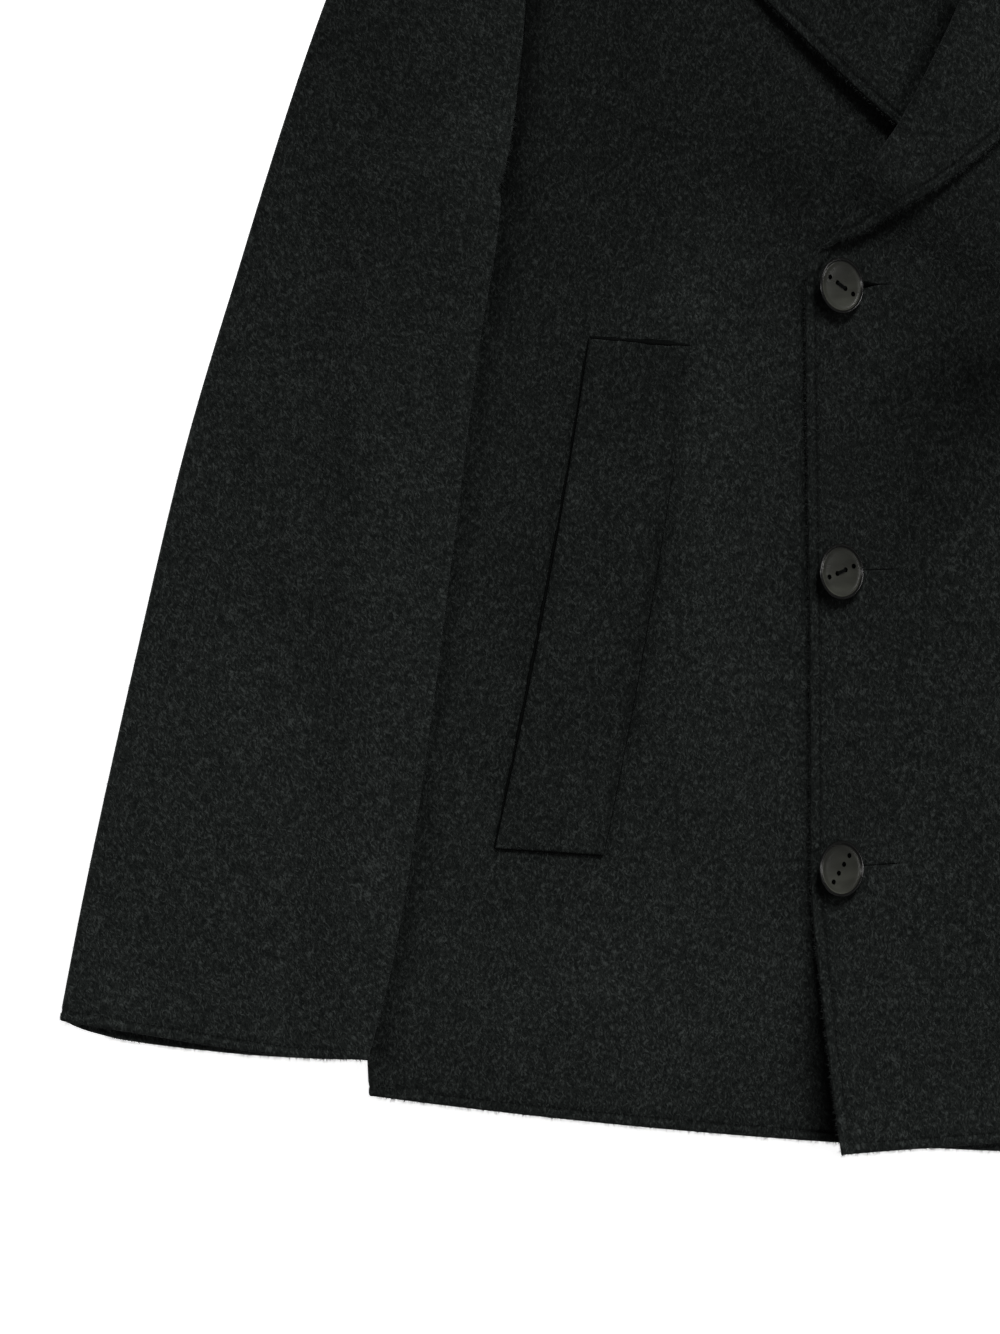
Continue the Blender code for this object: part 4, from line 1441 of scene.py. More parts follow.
@dataclass
class Collar:
    """The collar: a stand that goes up behind the neck, and a fall that turns over it.

    Attributes:
        sections: From the centre back to the tip: the neck seam, the fold, and the fall with its notch.
        neck_side: The section where the collar turns from back to front.
        gorge_gap: Between the collar and the lapel.
    """

    sections: dict[str, Array] = field(
        default_factory=lambda: table(
            "seam_x seam_y fold_x fold_y mid_x mid_y edge_x edge_y lift roll",
            (0.0, 716.8, 0.0, 760.0, 0.0, 727.0, 0.0, 694.0, 0.0, 2.2),  # centre back
            (60.0, 721.0, 50.0, 760.5, 58.0, 728.0, 66.0, 697.0, 0.2, 2.2),
            (103.8, 724.4, 86.0, 759.5, 106.0, 736.0, 128.0, 712.0, 0.8, 2.2),
            (107.2, 736.6, 97.0, 757.0, 126.0, 747.0, 152.0, 734.0, 1.2, 2.2),  # side of the neck
            (95.0, 723.8, 84.0, 734.0, 117.0, 722.0, 148.0, 706.0, 0.8, 2.1),
            (76.2, 706.0, 68.0, 703.0, 102.0, 693.0, 138.0, 689.0, 0.3, 1.9),
            (54.0, 671.7, 51.4, 672.4, 90.0, 645.0, 118.0, 668.0, 0.0, 1.8),  # gorge, notch, tip
        )
    )
    neck_side: int = 3
    gorge_gap: float = 1.0
    gorge_fades: float = 14.0

    def __post_init__(self) -> None:
        """Lays out the sections and the fold's direction."""
        self.rows = Sections(self.sections, ("seam", "fold", "mid", "edge"), [(6, -1)])
        self.crease = int(self.rows.first[self.neck_side])
        line = self.rows.line
        fold, crease = line["fold"], self.crease
        out = np.concatenate((outward(fold[:crease], -1), outward(fold[crease:], 1)))
        out[crease] += out[crease - 1]
        near = fading(self.rows.at[-1] - self.rows.at, self.gorge_fades)[:, None]
        last = fold[-1] - line["mid"][-1]
        out = unit(out * (1 - near) + last / np.linalg.norm(last) * near)
        fold -= out * FOLD
        off_lapel = self.gorge_gap * np.array((out[-1, 1], -out[-1, 0]))
        fold += off_lapel * near
        line["mid"] += off_lapel * near
        line["seam"] += (fold - line["seam"]) * near
        self.out = out
        self.stand = ruled(line["seam"], fold)
        lower = ruled(line["mid"], line["edge"], far=True)
        self.fall = np.concatenate((ruled(fold, line["mid"]), lower[:, 1:]), axis=1)

    def fall_behind(self) -> Array:
        """The fall behind the neck, which lies on the floor under the back."""
        return lifted(self.fall[: self.crease + 1], WALL / 2)

    def leaf(self, part: slice, base: Array, height: float, lift: Array, fall: Array) -> Array:
        """Makes some rows of the stand, and the fold that leads to a fall.

        Args:
            part: The rows.
            base: The heights of the pile under the collar.
            height: The stand's height over the pile.
            lift: How much higher each row's fold lies.
            fall: The fall that the fold leads to.

        Returns:
            A grid of the stand, the fold and the fall.
        """
        stand = self.stand[part]
        rise = lift * np.linspace(0.0, 1.0, stand.shape[1])
        stand = lifted(stand, read(base, stand) + height + rise)
        fold = turned(stand[:, -1], fall[:, 0], self.out[part])
        return np.concatenate((stand, fold[:, 1:-1], fall), axis=1)

    def grid(self, base: Array) -> Array:
        """Makes the collar, from the tip of one side round the neck to the tip of the other.

        Args:
            base: The heights of the pile under the collar.

        Returns:
            The collar's grid.
        """
        crease = self.crease
        lift = self.rows.along(self.sections["lift"])
        behind = self.leaf(slice(0, crease + 1), base, WALL / 2, lift[: crease + 1], self.fall_behind())
        lift, roll = 2 * lift[crease:], self.rows.along(self.sections["roll"])[crease:]
        fall = self.fall[crease:]
        fall = lifted(fall, read(base, fall) + WALL / 2 + LAYER + lift + 2 * roll)
        over = self.leaf(slice(crease, None), base, WALL / 2 + LAYER, lift, fall)
        bend = turned(over[0], behind[-1], np.broadcast_to((0.6, 0.8), (behind.shape[1], 2)))
        bend = bend.transpose(1, 0, 2)[-2:0:-1]
        half = np.concatenate((behind, bend, over))
        return np.concatenate((Side.RIGHT.turn(half)[:0:-1], half))

    def cut(self, base: Array) -> CutPiece:
        """Makes the collar, stitched along its edge in front of the neck.

        Args:
            base: The heights of the pile under it.

        Returns:
            The piece of cloth.
        """
        grid = self.grid(base)
        rim, seam = [grid[:, -1], grid[0], grid[-1]], grid[:, -1 - STITCH_ROW]
        seams = [seam[seam[:, 2] > 3 * WALL]]
        return CutPiece("collar", [grid], rim, seams, (0.48, 0.12), ["back", "front_left"], Hold.FOLDED)


@dataclass
class Back:
    """The back, flat on the floor but for its top, which lies on the collar's fall."""

    sections: dict[str, Array] = field(
        default_factory=lambda: table(
            "centre_x centre_y neck_x neck_y side_x side_y",
            (0.0, 7.0, 100.0, 9.6, 266.0, 25.4),  # hem
            (0.0, 120.0, 100.0, 121.0, 264.5, 128.0),
            (0.0, 260.0, 100.0, 261.0, 261.8, 265.0),
            (0.0, 400.0, 100.0, 401.0, 256.8, 402.0),
            (0.0, 436.0, 100.0, 437.0, 254.6, 440.0),
            (0.0, 462.0, 100.0, 463.0, 250.4, 469.0),  # underarm
            (0.0, 495.0, 100.0, 497.0, 240.0, 500.0),
            (0.0, 560.0, 100.0, 562.0, 229.0, 565.0),
            (0.0, 606.0, 101.0, 609.0, 227.0, 610.0),
            (0.0, 655.0, 102.0, 660.0, 229.0, 648.0),
            (0.0, 716.0, 104.3, 722.8, 233.0, 684.8),  # neck and shoulder
        )
    )

    def cut(self, base: Array) -> CutPiece:
        """Makes the back.

        Args:
            base: The heights of the pile under it.

        Returns:
            The piece of cloth.
        """
        rows = Sections(self.sections, ("centre", "neck", "side"), [(0, 1), (10, -1)], pitch=6.0)
        side = rows.line["side"]
        high = side[:, 1] > ARMHOLE["y"][0]
        side[high, 0] = armhole("back", side[high, 1])
        inner = ruled(rows.line["centre"], rows.line["neck"], pitch=6.0)
        outer = ruled(rows.line["neck"], side, far=True, pitch=6.0)
        plan = np.concatenate((inner, outer[:, 1:]), axis=1)
        half = lifted(plan, read(base, plan) + WALL / 2)
        grid = np.concatenate((Side.RIGHT.turn(half)[:, :0:-1], half), axis=1)
        return CutPiece("back", [grid], [grid[0]], [grid[STITCH_ROW]], (0.535, 0.72), [])


@dataclass
class Front:
    """A front, with its turns round the side and over the shoulder, and its lapel.

    Attributes:
        side: The wearer's side.
        hem_sag: How far the hem hangs down in its middle.
        curl: How far the free edge curls up at the hem.
        curl_height: How far up from the hem it curls.
        curl_width: How far in from the edge.
        holes: Heights of the buttonholes.
        hole_ends: Where a buttonhole starts and ends, from the centre front.
        gapes: How far the edges of each one are pulled away at the button.
        gape_ends: Where it is open widest, and where it is closed again.
        gape_fades: How far above and below the cloth is pulled along.
        side_turn: How far it goes round the side, to its seam on the back.
        shoulder_turn: The same over the shoulder.
        break_row: The section where the lapel starts to turn.
        underarm_row: The section at the top of the side.
        gorge_row: The section where the collar meets the lapel.
        break_grows: How far above its break the lapel has its whole width.
        roll_eases: Width of the lapel from which its roll is full.
    """

    side: Side
    hem_sag: float
    curl: float = 0.0
    curl_height: float = 125.0
    curl_width: float = 42.0
    holes: tuple[float, ...] = ()
    hole_ends: tuple[float, float] = (-60.5, -32.5)
    gapes: tuple[float, ...] = (2.4, 0.0, 0.0)
    gape_ends: tuple[float, float] = (-49.0, -39.0)
    gape_fades: float = 6.0
    side_turn: float = 22.0
    shoulder_turn: float = 10.0
    break_row: int = 7
    underarm_row: int = 8
    gorge_row: int = 16
    break_grows: float = 18.0
    roll_eases: float = 12.0
    # From hem to shoulder: the free edge, roll line and neckline, then the side and armhole.
    sections: dict[str, Array] = field(
        default_factory=lambda: table(
            "edge_x edge_y side_x side_y",
            (-57.5, -1.5, 293.0, 27.0),  # hem
            (-66.0, 67.0, 295.5, 92.0),
            (-72.5, 140.0, 289.0, 160.0),
            (-73.0, 250.0, 287.0, 262.0),
            (-74.5, 350.0, 284.0, 358.0),
            (-75.2, 425.0, 280.5, 432.0),
            (-74.0, 439.0, 279.0, 448.0),
            (-68.5, 447.5, 277.5, 460.0),  # break of the lapel
            (-61.0, 453.0, 276.0, 468.0),  # underarm
            (-50.0, 475.0, 262.0, 469.5),
            (-43.0, 492.0, 245.0, 473.0),
            (-30.0, 511.5, 228.0, 483.0),
            (-9.8, 550.0, 219.5, 520.0),
            (2.0, 575.0, 216.0, 550.0),
            (27.0, 623.0, 213.0, 600.0),
            (40.0, 648.0, 214.5, 628.0),
            (52.0, 672.0, 219.0, 655.0),  # gorge, where the collar begins
            (79.6, 704.0, 229.0, 682.0),
            (108.0, 736.0, 237.0, 698.0),  # shoulder
        )
    )
    # The lapel's outer edge from the break to the gorge, the radius of its roll, and the height of
    # its edge above the front, for the upper and the lower one.
    lapel: dict[str, Array] = field(
        default_factory=lambda: table(
            "edge_x edge_y roll_left lift_left roll_right lift_right",
            (-66.0, 446.0, 2.6, 3.6, 2.4, 3.4),
            (-57.0, 451.0, 2.8, 6.2, 2.4, 5.0),
            (-42.0, 461.0, 3.2, 8.4, 2.4, 5.4),
            (-26.5, 470.2, 3.4, 8.0, 2.2, 5.4),
            (-7.6, 481.5, 3.0, 7.0, 1.8, 6.0),
            (22.5, 505.5, 2.4, 5.8, 1.8, 8.4),
            (41.0, 521.5, 2.2, 5.2, 1.8, 8.8),
            (76.6, 555.2, 2.0, 4.6, 1.8, 7.4),
            (94.3, 573.5, 1.9, 4.2, 1.8, 6.0),
            (128.0, 618.0, 1.8, 3.6, 1.8, 3.6),  # tip
        )
    )

    def lay_out(self) -> None:
        """Lays out the front's rows, and its plan as far as the roll line."""
        edges = [(0, 1), (self.gorge_row, -1), (18, -1)]
        rows = self.rows = Sections(self.sections, ("edge", "side"), edges, slits=self.holes)
        edge, seam = rows.line["edge"], rows.line["side"]
        low, gorge = int(rows.first[self.break_row]), int(rows.first[self.gorge_row])
        underarm = self.underarm = int(rows.first[self.underarm_row])
        self.low, self.flap = low, slice(low, gorge + 1)
        self.walked = rows.at[self.flap] - rows.at[low]
        stop = self.gorge_row + 1
        self.roll = rows.along(self.lapel["roll_" + self.side.value], self.break_row, stop)
        self.lift = rows.along(self.lapel["lift_" + self.side.value], self.break_row, stop)
        tips = np.stack((self.lapel["edge_x"], self.lapel["edge_y"]), axis=1)
        self.tip = rows.along(tips, self.break_row, stop)
        inward = outward(edge[self.flap], 1)
        width = np.linalg.norm(self.tip - edge[self.flap], axis=1)[:, None]
        fade = np.minimum(width / self.roll_eases, 1.0)
        fade *= np.clip(2 * self.walked / self.break_grows, 0, 1)[:, None]
        edge[self.flap] += inward * (self.roll + WALL / 2) * fade
        neck = slice(gorge, int(rows.first[self.gorge_row + 1]) + 1)
        fade = np.linspace(1.0, 0.0, neck.stop - neck.start)[1:, None]
        edge[gorge + 1 : neck.stop] += inward[-1] * (self.roll[-1] + WALL / 2) * fade

        seam[: underarm + 1] -= outward(seam[: underarm + 1], 1) * FOLD
        high = seam[:, 1] > UNDERARM
        seam[high, 0] = armhole("front", seam[high, 1])
        shoulder = np.stack((edge[-1], seam[-1]))
        move = -outward(shoulder, -1) * FOLD
        fade = fading(rows.at[-1] - rows.at, 25.0)[:, None]
        edge += move[0] * fade
        seam += move[1] * fade

        plan = ruled(edge, seam, near=True, far=True)
        width = np.linalg.norm(seam - edge, axis=1)[:, None]
        span = np.linalg.norm(plan - plan[:, :1], axis=2) / width
        drop = np.clip(1 - rows.at / SAG_FADES, 0, 1)[:, None] ** 2
        plan[..., 1] += self.hem_sag * drop * 4 * span * (1 - span)
        for height, gape in zip(self.holes, self.gapes):
            above = plan[:, :1, 1] - height
            pull = gape * np.clip((self.gape_ends[1] - plan[..., 0]) / np.ptp(self.gape_ends), 0, 1)
            pull *= plan[..., 0] > self.hole_ends[0]
            plan[..., 1] += np.sign(above) * np.clip(1 - np.abs(above) / self.gape_fades, 0, 1) * pull
        self.plan = plan

    def drape(self, level: Array, base: Array) -> None:
        """Lays the front on the pile.

        Args:
            level: The heights under its upper side.
            base: The heights under its turns, which lie on the back.
        """
        self.lay_out()
        plan = self.plan
        panel = lifted(plan, read(level, plan) + WALL / 2)
        inwards = np.linalg.norm(plan - plan[:, :1], axis=2)
        curl = self.curl * np.clip(1 - self.rows.at / self.curl_height, 0, 1)[:, None]
        panel[..., 2] += curl * np.clip(1 - inwards / self.curl_width, 0, 1) ** 2
        upper = panel[: self.underarm + 1, -1]
        side_turn = self.turn_under(upper, outward(upper, 1), base, self.side_turn, True)
        upper = panel[-1]
        shoulder_turn = self.turn_under(upper, outward(upper, -1), base, self.shoulder_turn, False)
        self.panel, self.turns = panel, (side_turn, shoulder_turn)
        self.lapel_grid = self.lapel_on(level)

    def turn_under(self, upper: Array, out: Array, base: Array, reach: float, edge: bool) -> Array:
        """Takes the cloth round a crease and onto the back.

        Args:
            upper: The front's edge along the crease.
            out: Unit vectors in plan, out from the crease.
            base: The heights under the turned cloth.
            reach: How far it goes, to its seam.
            edge: Whether columns lie closer at the seam.

        Returns:
            The grid of the fold and the turned cloth.
        """
        strip = ruled(upper[:, :2], upper[:, :2] - out * reach, far=edge)
        return folded(upper, lifted(strip, read(base, strip) + WALL / 2), out)

    def lapel_on(self, level: Array) -> Array:
        """Rolls the lapel over: nothing wide at its break, and full above it.

        Args:
            level: The heights under the front.

        Returns:
            The lapel's grid, from the roll line to the outer edge.
        """
        root, roll = self.panel[self.flap, 0], self.roll
        gap = self.tip - root[:, :2]
        reach = np.linalg.norm(gap, axis=1)[:, None]
        gap = gap / reach
        gap[0] = gap[1]
        grown = np.clip(self.walked / self.break_grows, 0, 1)[:, None]
        width = (reach + np.pi * roll) * grown * (1.25 - 0.25 * grown)
        bend = np.minimum(np.pi * roll, 0.7 * width)
        flat = bend + spread((width - bend)[:, 0], far=True)[:, 1:]
        at = np.concatenate((bend * np.linspace(0, 1, FOLD_STEPS + 1), flat), axis=1)
        angle = np.minimum(at / roll, np.pi)
        over = np.maximum(at - np.pi * roll, 0.0)
        plan = root[:, None, :2] + gap[:, None] * (over - roll * np.sin(angle))[..., None]
        rise = roll * (1 - np.cos(angle))
        far = over / np.maximum(width - np.pi * roll, 1e-6)
        rise += (self.lift - 2 * roll) * np.where(width > np.pi * roll, far**2 * (3 - 2 * far), 0.0)
        return lifted(plan, read(level, plan) + WALL / 2 + rise)

    def cut(self) -> CutPiece:
        """The front as a piece of cloth."""
        turn = self.side.turn
        panel, flap = self.panel, self.lapel_grid
        grids = [turn(grid) for grid in (panel, *self.turns, flap)]
        rim = [panel[: self.low + 1, 0], panel[0], self.turns[0][0], flap[:, -1], flap[-1, 12:]]
        row, full = STITCH_ROW, int(np.searchsorted(self.walked, 1.6 * self.break_grows))
        seams = [
            panel[row : self.low - 1, row],
            panel[row, row:],
            flap[full:-row, -1 - row],
            flap[-1 - row, 24 : -1 - row],
        ]
        below = ["back"] if self.side is Side.RIGHT else ["back", "front_right"]
        node = "front_" + self.side.value
        lines = [turn(line) for line in rim], [turn(line) for line in seams]
        return CutPiece(
            node,
            grids,
            *lines,
            (0.46, 0.76),
            below,
            Hold.FOLDED,
            lie=RIGHT_FRONT_LIE_AND_SHADE if self.side is Side.RIGHT else BODY_LIE_AND_SHADE,
            slits=[(*self.hole_ends, height) for height in self.holes],
            fringe=[turn(panel[0]), turn(panel[: self.low, 0]), turn(flap[:, -1])],
        )


@dataclass
class Sleeve:
    """A sleeve: a top piece that goes round both creases, and an under piece.

    Attributes:
        turn: How far the top piece goes round each crease.
        loft: How much higher the middle of the sleeve is than its creases.
        cuff: How far each layer's cuff hangs down, from the inner crease to the outer one.
    """

    turn: float = 20.0
    loft: float = 1.2
    armpit_row: int = 6
    crown_row: int = 11
    cuff: dict[str, Array] = field(
        default_factory=lambda: table(
            "share over under",
            (0.0, 0.0, 0.0),
            (0.27, 3.5, 4.1),
            (0.42, 3.2, 5.4),
            (0.69, 1.8, 6.0),
            (0.80, 1.2, 5.6),
            (0.90, 0.6, 4.0),
            (0.95, 0.3, 2.6),
            (1.0, 0.0, 0.0),
        )
    )
    # From cuff to crown: the inner crease, which is the armhole above the armpit, and the outer one.
    sections: dict[str, Array] = field(
        default_factory=lambda: table(
            "inner_x inner_y outer_x outer_y",
            (293.2, 45.0, 447.7, 65.0),  # cuff
            (280.5, 96.5, 435.5, 128.0),
            (264.5, 196.5, 411.0, 240.0),
            (250.5, 303.5, 384.5, 352.0),
            (237.5, 403.5, 356.5, 446.0),
            (229.5, 452.0, 341.5, 495.0),
            (226.5, 478.0, 333.5, 520.0),  # armpit
            (219.5, 520.0, 321.0, 557.0),
            (215.0, 565.0, 307.0, 594.0),
            (213.0, 610.0, 291.0, 628.0),
            (219.0, 655.0, 268.0, 663.0),
            (227.0, 679.0, 252.0, 681.0),
            (231.0, 688.0, 244.0, 689.0),  # crown
        )
    )

    def laid(self, plan: Array, level: Array, over: bool) -> Array:
        """Lays some of the sleeve on the pile.

        Args:
            plan: Its points in plan.
            level: The heights under the sleeve.
            over: Whether it is the upper layer.

        Returns:
            Its grid.
        """
        rows = len(plan)
        share = np.linalg.norm(plan - self.inner[:rows, None], axis=2) / self.width[:rows]
        crown = 4 * share * (1 - share)
        sag = self.cuff["over" if over else "under"]
        sag = between(self.cuff["share"], sag, np.clip(share, 0, 1).ravel()).reshape(share.shape)
        plan = plan.copy()
        plan[..., 1] -= sag * self.fade[:rows]
        raised = LAYER + self.loft * crown if over else 0.0
        return lifted(plan, read(level, plan) + WALL / 2 + raised)

    def drape(self, level: Array, swells: Array) -> None:
        """Lays the sleeve on the pile.

        Args:
            level: The heights under it.
            swells: How much higher its upper layer lies here and there.
        """
        rows = Sections(self.sections, ("inner", "outer"), [(0, 1), (12, -1)])
        inner, outer = rows.line["inner"], rows.line["outer"]
        armpit, crown = int(rows.first[self.armpit_row]), int(rows.first[self.crown_row])
        inner[: armpit + 1] -= outward(inner[: armpit + 1], -1) * FOLD
        high = slice(armpit + 1, None)
        inner[high, 0] = armhole("front", inner[high, 1]) + SEAM
        out = outward(outer, 1)
        outer -= out * FOLD
        span = outer - inner
        self.inner, self.width = inner, np.linalg.norm(span, axis=1)[:, None]
        self.fade = np.clip(1 - rows.at / SAG_FADES, 0, 1)[:, None] ** 2
        turn = np.minimum(self.turn, 0.3 * self.width) / self.width
        inner_seam, outer_seam = inner + span * turn, outer - span * turn

        top = self.laid(ruled(inner, outer, near=True), level + swells, True)
        low_inner = self.laid(ruled(inner, inner_seam, far=True), level, False)
        low_outer = self.laid(ruled(outer, outer_seam, far=True), level, False)
        below = slice(0, armpit + 1)
        inner_turn = folded(top[below, 0], low_inner[below], outward(inner[below], -1))
        self.top, self.turns = top, (inner_turn, folded(top[:, -1], low_outer, out))

        back_x = armhole("back", inner[high, 1]) + SEAM
        start = inner_seam.copy()
        ease = fading(rows.at[armpit + 1] - rows.at[: armpit + 1], 30.0)[:, None]
        entry = inner[high] + span[high] * ((back_x - inner[high, 0]) / span[high, 0])[:, None]
        start[: armpit + 1] += (entry[0] - start[armpit]) * ease
        start[high] = entry
        under = ruled(start[: crown + 1], outer_seam[: crown + 1], near=True, far=True)
        self.under = self.laid(under, level, False)

    def cuts(self, side: Side) -> list[CutPiece]:
        """The sleeve's two pieces of cloth, on one side."""
        turn = side.turn
        top, under = self.top, self.under
        rim = [top[0], self.turns[0][0], self.turns[1][0]]
        seams = [top[STITCH_ROW]]
        lean = 12.5 if side is Side.LEFT else -12.5
        upper = CutPiece(
            "sleeve_top_" + side.value,
            [turn(grid) for grid in (top, *self.turns)],
            [turn(line) for line in rim],
            [turn(line) for line in seams],
            (0.21, 0.66),
            ["sleeve_under_" + side.value],
            Hold.FOLDED,
            grain_turn=lean,
            lie=SLEEVE_LIE_AND_SHADE,
            fringe=[turn(top[0]), turn(self.turns[1][:, FOLD_STEPS // 2]), turn(top[:, 0])],
        )
        lower = CutPiece(
            "sleeve_under_" + side.value,
            [turn(under)],
            [turn(under[0])],
            [],
            (0.12, 0.64),
            [],
            grain_turn=lean,
            lie=SLEEVE_LIE_AND_SHADE,
            fringe=[turn(under[0])],
        )
        return [upper, lower]


@dataclass
class Welt:
    """A pocket's slanted welt, sewn on the front with its outer edge open."""

    bow: float = -2.5  # both long edges bend towards the centre front
    wall: float = 2.0
    open_lift: float = 0.9
    sections: dict[str, Array] = field(
        default_factory=lambda: table(
            "outer_x outer_y inner_x inner_y",
            (230.0, 151.0, 176.0, 147.5),
            (183.0, 405.5, 132.5, 401.5),
        )
    )

    def cut(self, side: Side, level: Array) -> CutPiece:
        """Makes the welt.

        Args:
            side: The wearer's side.
            level: The heights under the front that it is sewn on.

        Returns:
            The piece of cloth.
        """
        rows = Sections(self.sections, ("outer", "inner"), [(0, 1), (1, -1)])
        plan = ruled(rows.line["outer"], rows.line["inner"], near=True, far=True)
        share = rows.at[:, None] / rows.at[-1]
        plan[..., 0] += self.bow * 4 * share * (1 - share)
        grid = lifted(plan, read(level, plan) + WALL + SEAM + self.wall / 2)
        across = np.linalg.norm(plan - plan[:, :1], axis=2)
        ends = np.clip(np.minimum(rows.at, rows.at[-1] - rows.at) / 25.0, 0.0, 1.0)[:, None]
        grid[..., 2] += self.open_lift * fading(across, 14.0) * ends
        grid = side.turn(grid)
        node, size, below = "pocket_welt_" + side.value, (0.055, 0.26), ["front_" + side.value]
        # Dark cords just off the welt's edges, painted shade in the ditches there.
        ditch_shades = [
            (side.turn(self.beside(line, middle, level, off, rise)), radius)
            for line, middle, radius, off, rise in (
                (plan[:, 0], plan[:, 4], 0.78, 0.45, 0.5),
                (plan[-1], plan[-5], 1.30, 0.60, 1.3),
                (plan[0], plan[4], 0.26, 0.30, 0.1),
                (plan[:-20, -1], plan[:-20, -5], 0.22, 0.30, 0.1),
            )
        ]
        return CutPiece(
            node, [grid], [], [], size, below, wall=self.wall, lie=WELT_LIE_AND_SHADE, ditch_shades=ditch_shades
        )

    def beside(self, line: Array, inside: Array, level: Array, off: float, rise: float) -> Array:
        """Moves a line of the welt's edge just off it, onto the front.

        Args:
            line: The line, in plan.
            inside: A line that runs beside it on the welt.
            level: The heights under the front.
            off: How far it moves.
            rise: The moved line's height above the front.

        Returns:
            The moved line.
        """
        out = line - inside
        line = line + off * out / np.linalg.norm(out, axis=1)[:, None]
        return lifted(line, read(level, line) + WALL + rise)


# --- Buttons -----------------------------------------------------------------------------------


@dataclass(frozen=True)
class Button:
    """A large button with a raised rim, a dished face and four holes in a row.

    Attributes:
        profile: Radius and height of its back, side, rim and face, from the middle round to it.
        pitch: Between the holes.
        hole: The holes' radius.
    """

    profile: tuple[tuple[float, float], ...] = (
        (0.0, -2.2),
        (8.0, -2.2),
        (11.6, -1.45),
        (12.8, -0.8),
        (13.7, 0.1),
        (14.1, 1.0),
        (14.0, 1.55),
        (13.6, 1.9),
        (13.2, 1.98),
        (12.8, 1.85),
        (12.45, 1.35),
        (12.1, 1.0),
        (11.8, 0.95),
        (11.2, 1.12),
        (9.5, 0.98),
        (6.0, 0.82),
        (0.0, 0.75),
    )
    segments: int = 96
    oval: float = 0.8  # width as a share of height
    pitch: float = 5.5
    steps: tuple[float, ...] = (-1.5, -0.5, 0.5, 1.5)  # the holes' places in their row, in pitches
    hole: float = 1.3
    strands: tuple[float, ...] = (-0.55, -0.18, 0.2, 0.56)  # places of the thread's loops
    strand: float = 0.24  # their radius
    sides: int = 8
    rings: int = 15
    rim: float = 12.4  # radius from which it is painted dark, as shade on the rim's outer side
    knot: float = 0.6
    knot_height: float = -1.0
    open_holes: int = 2  # the button of a column whose thread stays down in the holes
    column: float = 57.5  # from the centre front
    rows: tuple[float, ...] = BUTTON_ROWS
    # Lean from the horizontal, direction that the face and the narrow way turn to, and direction
    # of the row of holes from it, from the top button to the lowest.
    right: tuple[tuple[float, ...], ...] = ((12.0, 7.0, -36.0), (9.0, 4.0, 16.0), (8.0, 0.0, 53.0))
    left: tuple[tuple[float, ...], ...] = ((8.0, -6.0, 21.0), (6.0, 5.0, -30.0), (9.0, 3.0, 64.0))

    def blank(self) -> bpy.types.Mesh:
        """Turns and drills a button.

        Returns:
            Its mesh, round the origin, in metres.
        """
        form = bmesh.new()
        rings = []
        angles = np.arange(self.segments) * 2 * np.pi / self.segments
        for radius, height in self.profile:
            if radius == 0.0:
                rings.append([form.verts.new((0.0, 0.0, height * MM))])
                continue
            points = np.stack((np.cos(angles), np.sin(angles)), axis=1) * radius * MM
            rings.append([form.verts.new((x, y, height * MM)) for x, y in points])
        for low, high in zip(rings, rings[1:]):
            for i in range(self.segments):
                j = (i + 1) % self.segments
                corners = (low[i % len(low)], low[j % len(low)], high[j % len(high)], high[i % len(high)])
                form.faces.new(list(dict.fromkeys(corners)))
        return self.drilled(formed("button", form))

    def drilled(self, mesh: bpy.types.Mesh) -> bpy.types.Mesh:
        """Drills the four holes.

        Args:
            mesh: The button without holes.

        Returns:
            The drilled mesh.
        """
        blank = bpy.data.objects.new("button_blank", mesh)
        bpy.context.collection.objects.link(blank)
        drills = bmesh.new()
        for step in self.steps:
            place = Matrix.Translation((step * self.pitch * MM, 0.0, 0.0))
            bmesh.ops.create_cone(
                drills,
                cap_ends=True,
                segments=24,
                radius1=self.hole * MM,
                radius2=self.hole * MM,
                depth=20 * MM,
                matrix=place,
            )
        drill = bpy.data.objects.new("drills", formed("drills", drills))
        bpy.context.collection.objects.link(drill)
        cut = blank.modifiers.new("holes", "BOOLEAN")
        cut.object, cut.operation = drill, "DIFFERENCE"
        graph = bpy.context.evaluated_depsgraph_get()
        made = bpy.data.meshes.new_from_object(blank.evaluated_get(graph))
        bpy.data.objects.remove(blank)
        bpy.data.objects.remove(drill)
        made.shade_smooth()
        made.set_sharp_from_angle(angle=np.radians(42))
        # Painted shade: the rim's outer side and the holes' walls take the dark colour.
        centre = np.array([tuple(face.center) for face in made.polygons]) / MM
        upright = np.array([abs(face.normal.z) for face in made.polygons]) < 0.3
        out = np.hypot(centre[:, 0], centre[:, 1])
        rim_and_hole_shade = (out > self.rim) | (upright & (out < self.rim))
        tag(made, "rim_and_hole_shade", rim_and_hole_shade.astype(float), of="FACE")
        return made

    def plugs(self) -> bpy.types.Mesh:
        """Makes thread that stays down in the four holes, a knot in each.

        Returns:
            Its mesh, round the origin, in metres.
        """
        form = bmesh.new()
        for step in self.steps:
            place = Matrix.Translation((step * self.pitch * MM, 0.0, self.knot_height * MM))
            place @= Matrix.Diagonal((1.0, 0.7, 1.6, 1.0))
            bmesh.ops.create_icosphere(form, subdivisions=2, radius=self.knot * MM, matrix=place)
        mesh = formed("button_knots", form)
        mesh.shade_smooth()
        return mesh

